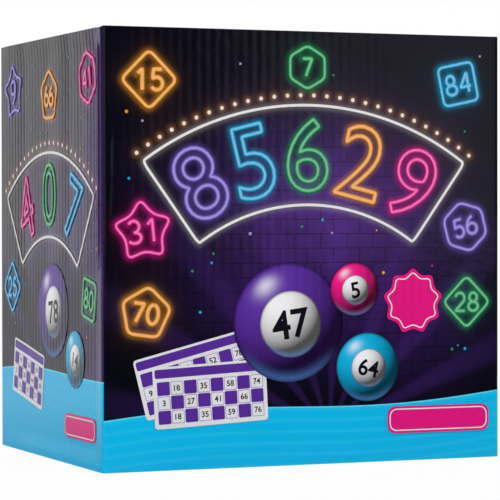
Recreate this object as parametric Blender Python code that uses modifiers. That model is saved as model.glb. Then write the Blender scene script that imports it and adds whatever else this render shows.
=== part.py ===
# Boxed electronic number game, in metres, +Z up.
# The origin is the middle of the carton's base; the printed front faces -Y.
# A corrugated tuck-top carton holds card packs and a ball-shaped number caller.

import math

import bmesh
import bpy
from mathutils import Matrix, Vector

# Fits
GAP = 0.0003
OVERRUN = 0.002
MERGE = 0.00001

# Carton
CARTON_WIDTH = 0.270
CARTON_DEPTH = 0.210
CARTON_HEIGHT = 0.270
BOARD = 0.003
FOLD_RADIUS = 0.004
INNER_FOLD_RADIUS = 0.001
SIDE_WALL_DROP = 0.0006
LID_DROP = 0.0004
LID_SIDE_CLEARANCE = 0.0006
LID_FRONT_CLEARANCE = 0.0008
TUCK_LENGTH = 0.030
TUCK_SIDE_CLEARANCE = 0.0025
TUCK_CORNER_RADIUS = 0.014
TUCK_LEAN = math.radians(8)
TUCK_ROOM = 0.0115
TUCK_ROOM_BELOW = 0.003
DUST_FLAP_LENGTH = 0.095
DUST_FLAP_FRONT_CLEARANCE = 0.0105
DUST_FLAP_REAR_CLEARANCE = 0.009
DUST_FLAP_REAR_TAPER = 0.041
DUST_FLAP_FRONT_TAPER = 0.010
DUST_FLAP_CORNER_RADIUS = 0.012
BOTTOM_LOCK_STEP = 0.018
BOTTOM_LOCK_HALF_WIDTH = 0.050
BOTTOM_INNER_FLAP_LENGTH = 0.088
BOTTOM_INNER_FLAP_TAPER = 0.022
GLUE_FLAP_WIDTH = 0.032
GLUE_FLAP_END_CLEARANCE = 0.012

# Fitments and card packs
CARD_BAY_WIDTH = 0.049
CARD_LENGTH = 0.180
CARD_WALL_CLEARANCE = 0.016
CARD_BOARD = 0.0015
CARDS_IN_PACK = 12
CARD_COLUMN_SPACING = 0.012
LEAFLET_LENGTH = 0.150
LEAFLET_WIDTH = 0.075
LEAFLET_THICKNESS = 0.0015
TRAY_BELOW_BALL = 0.041
COLLAR_ABOVE_BALL = 0.041
HOLE_SIDES = 48
DOOR_ROOM = 0.018

# Caller shells
BALL_RADIUS = 0.088
SHELL = 0.0022
FACET_OFFSET = 0.055
BASE_DROP = 0.074
TURNING_STEPS = 40
BOSS_RADIUS = 0.0045
BOSS_X = 0.064
BOSS_Z = 0.022
SCREW_SEAT = 0.0100
SCREW_HEAD_RADIUS = 0.0028
SCREW_HEAD_HEIGHT = 0.0020
SCREW_SHANK_RADIUS = 0.0012
SCREW_BITE = 0.0080
SCREW_CLEARANCE = 0.0004

# Display, stacked behind the flat face
WINDOW_WIDTH = 0.096
WINDOW_HEIGHT = 0.104
WINDOW_CORNER_RADIUS = 0.016
FACE_PROUD = 0.0010
FACE_THICKNESS = 0.0030
DIFFUSER_WIDTH = 0.100
DIFFUSER_HEIGHT = 0.108
DIFFUSER_CORNER_RADIUS = 0.018
DIFFUSER_THICKNESS = 0.0015
DIGIT_SPACING = 0.041
DIGIT_WIDTH = 0.026
DIGIT_HEIGHT = 0.062
STROKE = 0.0075
SEGMENT_SPACING = 0.0012
BAFFLE_WIDTH = 0.090
BAFFLE_HEIGHT = 0.084
BAFFLE_DEPTH = 0.0080
PANEL_BOARD = 0.0016
LED_BOARD_WIDTH = 0.116
LED_BOARD_HEIGHT = 0.100
LED_BOARD_CORNER_RADIUS = 0.012
LED_SIZE = 0.0040
LED_HEIGHT = 0.0030
DISPLAY_POST_X = 0.0545
DISPLAY_POST_RADIUS = 0.0028

# Call button, at the top
BUTTON_RADIUS = 0.028
BUTTON_CLEARANCE = 0.0005
BUTTON_WALL = 0.0018
BUTTON_TRAVEL = 0.0020
BUTTON_FLANGE_RADIUS = 0.0305
BUTTON_FLANGE_INNER_RADIUS = 0.0235
BUTTON_FLANGE_HEIGHT = 0.0012
BUTTON_FLANGE_CLEARANCE = 0.0007
SOUND_HOLE_RADIUS = 0.0015
SOUND_RING_RADIUS = 0.008
PEG_RADIUS = 0.0018
BUTTON_SPRING_RADIUS = 0.0248
BUTTON_SPRING_WIRE = 0.0006
BUTTON_SPRING_TURNS = 3
CALL_SWITCH_Y = 0.0195
CALL_SWITCH_SIZE = 0.0060
CALL_SWITCH_HEIGHT = 0.0035
CALL_PLUNGER_RADIUS = 0.0017
CALL_PLUNGER_HEIGHT = 0.0014

# Loudspeaker, under the call button
CARRIER_TOP = 0.0640
CARRIER_THICKNESS = 0.0025
CARRIER_HOLE_RADIUS = 0.0128
CARRIER_RIM_CLEARANCE = 0.0009
SPEAKER_FLANGE_RADIUS = 0.0145
SPEAKER_FLANGE_THICKNESS = 0.0012
SPEAKER_THROAT_RADIUS = 0.0120
SPEAKER_BACK_RADIUS = 0.0075
SPEAKER_DEPTH = 0.0085
SPEAKER_WALL = 0.0008
MAGNET_RADIUS = 0.0085
MAGNET_HEIGHT = 0.0047
CONE_RIM_THICKNESS = 0.0006
CONE_EDGE_CLEARANCE = 0.0005
CONE_CENTRE_RADIUS = 0.0035
CONE_DEPTH = 0.0052

# Main board and rear controls
MAIN_BOARD_Y = 0.0600
MAIN_BOARD_WIDTH = 0.076
MAIN_BOARD_HEIGHT = 0.056
MAIN_BOARD_CORNER_RADIUS = 0.003
MAIN_POST_X = 0.033
MAIN_POST_RADIUS = 0.0026
CHIP_SIZE = 0.012
CHIP_HEIGHT = 0.0018
CHIP_X = -0.004
REAR_BUTTON_X = 0.013
REAR_BUTTON_Z = 0.024
REAR_BUTTON_RADIUS = 0.0050
REAR_BUTTON_PROUD = 0.0015
REAR_BUTTON_TRAVEL = 0.0012
REAR_BUTTON_FLANGE_RADIUS = 0.0066
REAR_BUTTON_FLANGE_SINK = 0.0035
REAR_BUTTON_FLANGE_THICKNESS = 0.0012
REAR_BUTTON_STEM_RADIUS = 0.0028
KEYPAD_WIDTH = 0.044
KEYPAD_HEIGHT = 0.016
KEYPAD_THICKNESS = 0.0010
KEYPAD_DOME_RADIUS = 0.0040
KEYPAD_DOME_HEIGHT = 0.0016
POWER_Z = -0.014
POWER_BODY_WIDTH = 0.020
POWER_BODY_HEIGHT = 0.0070
POWER_BODY_DEPTH = 0.0050
POWER_STEM_WIDTH = 0.0040
POWER_STEM_HEIGHT = 0.0030
POWER_FOOT_WIDTH = 0.0070
POWER_FOOT_HEIGHT = 0.0050
POWER_FOOT_THICKNESS = 0.0016
POWER_PROUD = 0.0018
POWER_TRAVEL = 0.0080
SLOT_CLEARANCE = 0.0008

# Base, battery bay and feet
BASE_RECESS = 0.0005
BASE_PLATE = 0.0022
BASE_EDGE_CLEARANCE = 0.0011
CELL_RADIUS = 0.00725
CELL_LENGTH = 0.0492
CELL_PITCH = 0.0150
CELL_NUB_RADIUS = 0.0027
CELL_NUB_LENGTH = 0.0013
CELL_COUNT = 3
BAY_END_ROOM = 0.0065
BAY_SIDE_ROOM = 0.0025
BAY_WALL = 0.0018
BAY_TOP_DROP = 0.0555
CONTACT_THICKNESS = 0.0006
CONTACT_HEIGHT = 0.0090
CONTACT_SPRING_RADIUS = 0.0045
CONTACT_SPRING_END_RADIUS = 0.0028
CONTACT_SPRING_WIRE = 0.0004
CONTACT_SPRING_TURNS = 2
DOOR_THICKNESS = 0.0018
DOOR_TAB_WIDTH = 0.012
DOOR_TAB_LENGTH = 0.0088
DOOR_RIB = 0.0016
DOOR_TRAVEL = 0.030
DOOR_BOSS_WIDTH = 0.015
DOOR_BOSS_HEIGHT = 0.0100
DOOR_SCREW_HEAD_HEIGHT = 0.0008
DOOR_SCREW_REACH = 0.0060
FOOT_INNER_RADIUS = 0.0386
FOOT_OUTER_RADIUS = 0.0424
FOOT_GROOVE_DEPTH = 0.0008
FOOT_STAND = 0.0020

# Wires inside the caller
WIRE_RADIUS = 0.0012
WIRE_END_RUN = 0.0030
WIRE_POINTS_PER_SPAN = 4

# Places that follow from the sizes above
half_width = CARTON_WIDTH / 2
half_depth = CARTON_DEPTH / 2
inner_x = half_width - BOARD
inner_y = half_depth - BOARD
lid_top = CARTON_HEIGHT - LID_DROP
lid_bottom = lid_top - BOARD
flap_top = lid_bottom - GAP
flap_bottom = flap_top - BOARD
floor_top = 2 * BOARD + GAP
stand = floor_top + GAP
ceiling = flap_bottom - GAP
fitment_y = inner_y - BOARD - 2 * GAP
divider_left = inner_x - CARD_BAY_WIDTH - BOARD
inner_ball = BALL_RADIUS - SHELL
base_plate_bottom = -BASE_DROP + BASE_RECESS
base_plate_top = base_plate_bottom + BASE_PLATE
foot_bottom = base_plate_bottom - FOOT_STAND
ball_x = (divider_left - inner_x) / 2
ball_z = stand + DOOR_TRAVEL + DOOR_ROOM - foot_bottom
card_width = inner_y - CARD_COLUMN_SPACING / 2 - CARD_WALL_CLEARANCE
cell_top = -BAY_TOP_DROP - GAP
cell_z = cell_top - CELL_RADIUS
bay_half_x = (CELL_COUNT * CELL_PITCH + BAY_SIDE_ROOM) / 2
bay_half_y = (CELL_LENGTH + CELL_NUB_LENGTH + BAY_END_ROOM) / 2
carrier_bottom = CARRIER_TOP - CARRIER_THICKNESS
facet_inner = FACET_OFFSET - SHELL
diffuser_front = facet_inner - GAP
diffuser_back = diffuser_front - DIFFUSER_THICKNESS
baffle_front = diffuser_back - GAP
baffle_back = baffle_front - BAFFLE_DEPTH
led_board_front = baffle_back - GAP
led_board_back = led_board_front - PANEL_BOARD
main_board_back = MAIN_BOARD_Y + PANEL_BOARD


def sphere_height(radius, offset):
    """Distance from the centre plane to a sphere's surface at an offset from its axis."""
    return math.sqrt(radius * radius - offset * offset)


# Scene, collections and materials
for old_object in list(bpy.data.objects):
    bpy.data.objects.remove(old_object, do_unlink=True)

model = bpy.data.collections.new("electronic_bingo_game")
bpy.context.scene.collection.children.link(model)
cutters = bpy.data.collections.new("cutters")
bpy.context.scene.collection.children.link(cutters)


def make_material(name, colour, roughness, metallic=0.0):
    """Principled material with one colour."""
    material = bpy.data.materials.new(name)
    material.use_nodes = True
    shader = material.node_tree.nodes["Principled BSDF"]
    shader.inputs["Base Color"].default_value = (*colour, 1.0)
    shader.inputs["Roughness"].default_value = roughness
    shader.inputs["Metallic"].default_value = metallic
    material.diffuse_color = (*colour, 1.0)
    return material


PRINTED_BOARD = make_material("printed_board", (0.012, 0.010, 0.025), 0.35)
PRINTED_PURPLE = make_material("printed_purple", (0.06, 0.02, 0.16), 0.35)
PLAIN_BOARD = make_material("plain_board", (0.47, 0.32, 0.19), 0.9)
CARD_PRINT = make_material("card_print", (0.22, 0.10, 0.45), 0.5)
PAPER = make_material("paper", (0.86, 0.86, 0.84), 0.8)
PURPLE_GLOSS = make_material("purple_gloss", (0.11, 0.03, 0.34), 0.18)
DARK_PLASTIC = make_material("dark_plastic", (0.02, 0.02, 0.025), 0.5)
WHITE_PLASTIC = make_material("white_plastic", (0.82, 0.82, 0.80), 0.35)
PINK_LIGHT = make_material("pink_light", (0.80, 0.02, 0.22), 0.3)
CIRCUIT = make_material("circuit_board", (0.02, 0.16, 0.07), 0.45)
RUBBER = make_material("rubber", (0.03, 0.03, 0.03), 0.85)
STEEL = make_material("steel", (0.62, 0.62, 0.60), 0.3, 1.0)
CELL_WRAP = make_material("cell_wrap", (0.10, 0.10, 0.11), 0.35)
WIRE_RED = make_material("wire_red", (0.50, 0.02, 0.02), 0.5)
CONE_PAPER = make_material("cone_paper", (0.05, 0.05, 0.05), 0.8)


# Frames that carry the two assemblies
def add_frame(name, location, parent=None):
    """Empty that carries a group of pieces."""
    frame = bpy.data.objects.new(name, None)
    frame.location = location
    frame.parent = parent
    model.objects.link(frame)
    return frame


carton_frame = add_frame("carton_frame", (0, 0, 0))
caller_frame = add_frame("caller_frame", (ball_x, 0, ball_z), carton_frame)

FACING_UP = (0, 0, 0)
FACING_FRONT = (math.radians(90), 0, 0)
FACING_REAR = (math.radians(-90), 0, 0)


# Building blocks
def add_part(name, mesh, material, parent, location=(0, 0, 0), rotation=FACING_UP):
    """Object of the model, made from a finished mesh."""
    part = bpy.data.objects.new(name, mesh)
    part.location = location
    part.rotation_euler = rotation
    part.parent = parent
    mesh.materials.append(material)
    model.objects.link(part)
    return part


def add_cutter(name, mesh, parent, location=(0, 0, 0), rotation=FACING_UP):
    """Guide object for a Boolean modifier."""
    cutter = bpy.data.objects.new(name, mesh)
    cutter.location = location
    cutter.rotation_euler = rotation
    cutter.parent = parent
    cutter.hide_render = True
    cutter.display_type = "WIRE"
    cutters.objects.link(cutter)
    return cutter


def combine(part, tool, operation):
    """Boolean modifier on a part, with the exact solver."""
    modifier = part.modifiers.new(tool.name, "BOOLEAN")
    modifier.operation = operation
    modifier.solver = "EXACT"
    modifier.object = tool


def cut(part, *tools):
    """Cuts each tool out of the part."""
    for tool in tools:
        combine(part, tool, "DIFFERENCE")


def join(part, *tools):
    """Joins each tool to the part."""
    for tool in tools:
        combine(part, tool, "UNION")


def finish_mesh(name, shape):
    """Turns a bmesh into a mesh."""
    mesh = bpy.data.meshes.new(name)
    shape.to_mesh(mesh)
    shape.free()
    return mesh


def box_mesh(name, low, high):
    """Box between two corners."""
    low = Vector(low)
    high = Vector(high)
    shape = bmesh.new()
    bmesh.ops.create_cube(shape, size=1)
    size = Matrix.Diagonal((*(high - low), 1))
    bmesh.ops.transform(shape, matrix=Matrix.Translation((low + high) / 2) @ size, verts=shape.verts)
    return finish_mesh(name, shape)


def rod_mesh(name, radius, start, end, sides=16):
    """Cylinder from one point to another."""
    start = Vector(start)
    end = Vector(end)
    along = end - start
    shape = bmesh.new()
    bmesh.ops.create_cone(
        shape,
        cap_ends=True,
        segments=sides,
        radius1=radius,
        radius2=radius,
        depth=along.length,
    )
    turn = along.to_track_quat("Z", "Y").to_matrix().to_4x4()
    bmesh.ops.transform(shape, matrix=Matrix.Translation((start + end) / 2) @ turn, verts=shape.verts)
    mesh = finish_mesh(name, shape)
    mesh.shade_smooth()
    mesh.set_sharp_from_angle(angle=math.radians(40))
    return mesh


def merge_meshes(name, *meshes):
    """One mesh that holds several separate closed shapes."""
    shape = bmesh.new()
    for mesh in meshes:
        shape.from_mesh(mesh)
        bpy.data.meshes.remove(mesh)
    return finish_mesh(name, shape)


def evaluated_mesh(name, guide):
    """Welded mesh of a curve object, which is then removed."""
    bpy.context.scene.collection.objects.link(guide)
    graph = bpy.context.evaluated_depsgraph_get()
    mesh = bpy.data.meshes.new_from_object(guide.evaluated_get(graph))
    curve = guide.data
    bpy.data.objects.remove(guide)
    bpy.data.curves.remove(curve)
    mesh.name = name
    shape = bmesh.new()
    shape.from_mesh(mesh)
    bmesh.ops.remove_doubles(shape, verts=shape.verts, dist=MERGE)
    shape.to_mesh(mesh)
    shape.free()
    return mesh


def plate_mesh(name, low, high, outline, *holes):
    """Flat plate from an outline in X and Y, between two heights."""
    curve = bpy.data.curves.new(name, "CURVE")
    curve.dimensions = "2D"
    curve.fill_mode = "BOTH"
    curve.extrude = (high - low) / 2
    for loop in (outline, *holes):
        spline = curve.splines.new("POLY")
        spline.points.add(len(loop) - 1)
        for point, (x, y) in zip(spline.points, loop):
            point.co = (x, y, 0, 1)
        spline.use_cyclic_u = True
    mesh = evaluated_mesh(name, bpy.data.objects.new(name, curve))
    mesh.transform(Matrix.Translation((0, 0, (low + high) / 2)))
    return mesh


def tube_mesh(name, points, radius, resolution=1):
    """Closed tube along a list of points."""
    curve = bpy.data.curves.new(name, "CURVE")
    curve.dimensions = "3D"
    curve.bevel_depth = radius
    curve.bevel_resolution = resolution
    curve.use_fill_caps = True
    spline = curve.splines.new("POLY")
    spline.points.add(len(points) - 1)
    for point, place in zip(spline.points, points):
        point.co = (*place, 1)
    mesh = evaluated_mesh(name, bpy.data.objects.new(name, curve))
    mesh.shade_smooth()
    return mesh


def turn_profile(part_name, profile, closed):
    """Mesh that holds a profile in X and Z, for a Screw modifier."""
    mesh = bpy.data.meshes.new(part_name)
    count = len(profile)
    edges = [(i, i + 1) for i in range(count - 1)]
    if closed:
        edges.append((count - 1, 0))
    mesh.from_pydata([(radius, 0, height) for radius, height in profile], edges, [])
    return mesh


def add_screw(part, steps=TURNING_STEPS):
    """Turns a profile once round its own Z axis."""
    modifier = part.modifiers.new("turning", "SCREW")
    modifier.angle = math.tau
    modifier.steps = steps
    modifier.render_steps = steps
    modifier.use_merge_vertices = True
    modifier.merge_threshold = MERGE
    modifier.use_smooth_shade = True


def turned_part(
    name, profile, material, closed, location=(0, 0, 0), rotation=FACING_UP, steps=TURNING_STEPS
):
    """Turned piece of the caller."""
    mesh = turn_profile(name, profile, closed)
    part = add_part(name, mesh, material, caller_frame, location, rotation)
    add_screw(part, steps)
    return part


def rounded_rectangle(width, height, radius, steps=5, centre=(0, 0)):
    """Outline of a rectangle with round corners, anticlockwise."""
    points = []
    for quarter, (sx, sy) in enumerate(((1, 1), (-1, 1), (-1, -1), (1, -1))):
        cx = centre[0] + sx * (width / 2 - radius)
        cy = centre[1] + sy * (height / 2 - radius)
        for step in range(steps + 1):
            angle = math.radians(90) * (quarter + step / steps)
            points.append((cx + radius * math.cos(angle), cy + radius * math.sin(angle)))
    return points


def rectangle(x_low, x_high, y_low, y_high):
    """Outline of a plain rectangle, anticlockwise."""
    return [(x_low, y_low), (x_high, y_low), (x_high, y_high), (x_low, y_high)]


def arc(radius, start, end, steps):
    """Points of an arc about the origin, from one angle to another, as radius and height."""
    points = []
    for step in range(steps + 1):
        angle = start + (end - start) * step / steps
        points.append((radius * math.cos(angle), radius * math.sin(angle)))
    return points


def corner_arc(centre, radius, start, end, steps=4):
    """Points of a round corner of an outline."""
    return [(centre[0] + x, centre[1] + y) for x, y in arc(radius, start, end, steps)]


# Carton walls
def build_sleeve():
    """Four walls in one wrap, with rolled folds and a lower top at the sides and rear."""
    outer = rounded_rectangle(CARTON_WIDTH, CARTON_DEPTH, FOLD_RADIUS)
    inner = rounded_rectangle(2 * inner_x, 2 * inner_y, INNER_FOLD_RADIUS, 2)
    mesh = plate_mesh("carton_sleeve", 0, CARTON_HEIGHT, outer, inner)
    sleeve = add_part("carton_sleeve", mesh, PRINTED_BOARD, carton_frame)
    side_trim = box_mesh(
        "side_trim",
        (-half_width - OVERRUN, -inner_y - BOARD / 2, CARTON_HEIGHT - SIDE_WALL_DROP),
        (half_width + OVERRUN, half_depth + OVERRUN, CARTON_HEIGHT + OVERRUN),
    )
    lid_seat = box_mesh(
        "lid_seat",
        (-inner_x, 0, lid_bottom - GAP),
        (inner_x, half_depth + OVERRUN, CARTON_HEIGHT + OVERRUN),
    )
    cut(sleeve, add_cutter("side_trim", side_trim, carton_frame))
    cut(sleeve, add_cutter("lid_seat", lid_seat, carton_frame))


def build_glue_flap():
    """Glued lap inside the rear wall, at the left corner."""
    left = -inner_x + GAP
    mesh = box_mesh(
        "glue_flap",
        (left, inner_y - GAP - BOARD, stand + GLUE_FLAP_END_CLEARANCE),
        (left + GLUE_FLAP_WIDTH, inner_y - GAP, flap_bottom - GLUE_FLAP_END_CLEARANCE),
    )
    add_part("glue_flap", mesh, PLAIN_BOARD, carton_frame)


def build_bottom_flaps():
    """Glued lock bottom: two outer flaps that meet along a stepped line, two inner ones."""
    side = inner_x - GAP
    end = inner_y - GAP
    step = BOTTOM_LOCK_STEP
    reach = BOTTOM_LOCK_HALF_WIDTH
    seam = [
        (side, -step),
        (reach + step, -step),
        (reach, step),
        (-reach, step),
        (-reach - step, -step),
        (-side, -step),
    ]
    front = [(-side, -end), (side, -end)] + [(x, y - GAP / 2) for x, y in seam]
    rear = [(side, end), (-side, end)] + [(x, y + GAP) for x, y in reversed(seam)]
    for name, outline in (("bottom_flap_front", front), ("bottom_flap_rear", rear)):
        add_part(name, plate_mesh(name, 0, BOARD, outline), PRINTED_PURPLE, carton_frame)
    tip = side - BOTTOM_INNER_FLAP_LENGTH
    narrow = end - BOTTOM_INNER_FLAP_TAPER
    for name, sign in (("bottom_flap_left", -1), ("bottom_flap_right", 1)):
        outline = [(side, -end), (side, end), (tip, narrow), (tip, -narrow)]
        outline = [(sign * x, y) for x, y in outline]
        mesh = plate_mesh(name, BOARD + GAP, 2 * BOARD + GAP, outline[::sign])
        add_part(name, mesh, PLAIN_BOARD, carton_frame)


# Carton top
def build_lid():
    """Top panel between the side walls, hinged on the fold along the rear top edge."""
    hinge = (0, half_depth + GAP, lid_top)
    side = inner_x - LID_SIDE_CLEARANCE
    front = -(inner_y - LID_FRONT_CLEARANCE) - hinge[1]
    mesh = box_mesh("lid_panel", (-side, front, -BOARD), (side, -GAP, 0))
    add_part("lid_panel", mesh, PRINTED_PURPLE, carton_frame, hinge)


def build_tuck_flap():
    """Tuck behind the front wall, leaning inward about its fold at the lid's front edge."""
    fold = (0, -(inner_y - LID_FRONT_CLEARANCE), lid_bottom - GAP)
    side = inner_x - LID_SIDE_CLEARANCE - TUCK_SIDE_CLEARANCE
    radius = TUCK_CORNER_RADIUS
    drop = BOARD * math.sin(TUCK_LEAN)
    right = corner_arc((side - radius, -TUCK_LENGTH + radius), radius, math.radians(-90), 0)
    left_centre = (-side + radius, -TUCK_LENGTH + radius)
    left = corner_arc(left_centre, radius, math.radians(180), math.radians(270))
    outline = [(side, -drop), (-side, -drop)] + left + right
    mesh = plate_mesh("tuck_flap", -BOARD, 0, outline)
    lean = (math.radians(90) + TUCK_LEAN, 0, 0)
    add_part("tuck_flap", mesh, PRINTED_PURPLE, carton_frame, fold, lean)


def build_dust_flaps():
    """Side flaps under the lid, each hinged on the fold at the top of its side wall."""
    radius = DUST_FLAP_CORNER_RADIUS
    front = -inner_y + DUST_FLAP_FRONT_CLEARANCE
    rear = inner_y - DUST_FLAP_REAR_CLEARANCE
    tip_front = front + DUST_FLAP_FRONT_TAPER
    tip_rear = rear - DUST_FLAP_REAR_TAPER
    length = DUST_FLAP_LENGTH
    for name, sign in (("dust_flap_left", -1), ("dust_flap_right", 1)):
        rear_corner = corner_arc((length - radius, tip_rear - radius), radius, 0, math.radians(90))
        front_corner = corner_arc((length - radius, tip_front + radius), radius, math.radians(-90), 0)
        outline = [(0, rear), (0, front)] + front_corner + rear_corner
        outline = [(-sign * x, y) for x, y in outline][::-sign]
        mesh = plate_mesh(name, -BOARD, 0, outline)
        place = (sign * (inner_x - GAP), 0, flap_top)
        add_part(name, mesh, PLAIN_BOARD, carton_frame, place)


# Fitments
def build_bridge(name, plate_low, leg_end, ball_offset):
    """Folded sheet with two legs and a round hole that seats the ball."""
    left = -inner_x + GAP
    right = divider_left - GAP
    plate_high = plate_low + BOARD
    if leg_end < plate_low:
        near, far = plate_high, plate_low
    else:
        near, far = plate_low, plate_high
    outline = [
        (left, leg_end),
        (left, near),
        (right, near),
        (right, leg_end),
        (right - BOARD, leg_end),
        (right - BOARD, far),
        (left + BOARD, far),
        (left + BOARD, leg_end),
    ]
    mesh = plate_mesh(name, -fitment_y, fitment_y, outline)
    bridge = add_part(name, mesh, PLAIN_BOARD, carton_frame, (0, 0, 0), FACING_FRONT)
    hole = rod_mesh(
        name + "_hole",
        (sphere_height(BALL_RADIUS, ball_offset) + GAP) / math.cos(math.pi / HOLE_SIDES),
        (ball_x, 0, plate_low - OVERRUN),
        (ball_x, 0, plate_high + OVERRUN),
        HOLE_SIDES,
    )
    cut(bridge, add_cutter(name + "_hole", hole, carton_frame))
    return bridge


def build_fitments():
    """Tray under the ball, collar over it, and the divider beside it, notched for the tuck."""
    build_bridge("insert_tray", ball_z - TRAY_BELOW_BALL - BOARD, stand, TRAY_BELOW_BALL)
    collar = build_bridge("insert_collar", ball_z + COLLAR_ABOVE_BALL, ceiling - GAP, COLLAR_ABOVE_BALL)
    notch = box_mesh(
        "tuck_notch",
        (-half_width, -half_depth, lid_bottom - TUCK_LENGTH - TUCK_ROOM_BELOW),
        (half_width, -inner_y + TUCK_ROOM, CARTON_HEIGHT),
    )
    notch_guide = add_cutter("tuck_notch", notch, carton_frame)
    mesh = box_mesh(
        "bay_divider",
        (divider_left, -fitment_y, stand),
        (divider_left + BOARD, fitment_y, ceiling),
    )
    divider = add_part("bay_divider", mesh, PLAIN_BOARD, carton_frame)
    cut(collar, notch_guide)
    cut(divider, notch_guide)


def build_cards():
    """Four packs of number cards on end, in two columns, with the folded rules beside them."""
    thickness = CARDS_IN_PACK * CARD_BOARD
    first = divider_left + BOARD + GAP
    number = 1
    for row in range(2):
        x = first + row * (thickness + GAP)
        for side in (-1, 1):
            y = side * (CARD_COLUMN_SPACING + card_width) / 2
            mesh = box_mesh(
                "card_pack",
                (x, y - card_width / 2, stand),
                (x + thickness, y + card_width / 2, stand + CARD_LENGTH),
            )
            add_part(f"card_pack_{number}", mesh, CARD_PRINT, carton_frame)
            number += 1
    x = first + 2 * (thickness + GAP)
    mesh = box_mesh(
        "rules_leaflet",
        (x, -LEAFLET_WIDTH / 2, stand),
        (x + LEAFLET_THICKNESS, LEAFLET_WIDTH / 2, stand + LEAFLET_LENGTH),
    )
    add_part("rules_leaflet", mesh, PAPER, carton_frame)


# Caller shells
def shell_profile(flat):
    """Half shell about its own Z: a flat face or a round pole on top, open below."""
    low = GAP / 2
    if flat:
        outer_rim = math.asin(FACET_OFFSET / BALL_RADIUS)
        inner_rim = math.asin(facet_inner / inner_ball)
        outer_top, inner_top = FACET_OFFSET, facet_inner
    else:
        outer_rim = inner_rim = math.radians(90)
        outer_top, inner_top = BALL_RADIUS, inner_ball
    outer_low = math.asin(low / BALL_RADIUS)
    inner_low = math.asin(low / inner_ball)
    steps = 6 if flat else 10
    outer = arc(BALL_RADIUS, outer_rim, outer_low, steps)
    inner = arc(inner_ball, inner_low, inner_rim, steps)
    if flat:
        return [(0, outer_top)] + outer + inner + [(0, inner_top)]
    return [(0, outer_top)] + outer[1:] + inner[:-1] + [(0, inner_top)]


def add_ball_core():
    """Ball that ends inside the shell's wall, to trim what is joined to the shell."""
    shape = bmesh.new()
    radius = BALL_RADIUS - SHELL / 2
    bmesh.ops.create_uvsphere(shape, u_segments=TURNING_STEPS, v_segments=TURNING_STEPS // 2, radius=radius)
    return add_cutter("ball_core", finish_mesh("ball_core", shape), caller_frame)


def boss_places():
    """Places of the four screws that join the shells, as X and Z."""
    return [(x, z) for x in (-BOSS_X, BOSS_X) for z in (-BOSS_Z, BOSS_Z)]


def build_front_shell(ball_core, base_cut, button_bore):
    """Front half with a flat face, its window, four pilot bosses and two display posts."""
    shell = turned_part("front_shell", shell_profile(True), PURPLE_GLOSS, False, (0, 0, 0), FACING_FRONT)
    columns = []
    pilots = []
    for x, z in boss_places():
        column_end = (x, SHELL / 2 - FACET_OFFSET, z)
        columns.append(rod_mesh("column", BOSS_RADIUS, (x, -GAP / 2, z), column_end, 12))
        hole = SCREW_SHANK_RADIUS + SCREW_CLEARANCE
        depth = SCREW_BITE + 2 * GAP
        pilots.append(rod_mesh("pilot", hole, (x, OVERRUN, z), (x, -depth, z), 8))
    columns_guide = add_cutter("front_columns", merge_meshes("front_columns", *columns), caller_frame)
    combine(columns_guide, ball_core, "INTERSECT")
    posts = []
    for x in (-DISPLAY_POST_X, DISPLAY_POST_X):
        start = (x, -led_board_front - GAP, 0)
        posts.append(rod_mesh("post", DISPLAY_POST_RADIUS, start, (x, -facet_inner - SHELL / 2, 0), 12))
        hole = SCREW_SHANK_RADIUS + SCREW_CLEARANCE
        pilots.append(rod_mesh("pilot", hole, (x, -baffle_back, 0), (x, -facet_inner, 0), 8))
    posts_guide = add_cutter("display_posts", merge_meshes("display_posts", *posts), caller_frame)
    window = plate_mesh(
        "window_cut",
        facet_inner - OVERRUN,
        FACET_OFFSET + OVERRUN,
        rounded_rectangle(WINDOW_WIDTH, WINDOW_HEIGHT, WINDOW_CORNER_RADIUS),
    )
    window_cut = add_cutter("window_cut", window, caller_frame, (0, 0, 0), FACING_FRONT)
    pilots_guide = add_cutter("front_pilots", merge_meshes("front_pilots", *pilots), caller_frame)
    join(shell, columns_guide, posts_guide)
    cut(shell, base_cut, button_bore, window_cut, pilots_guide)


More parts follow.
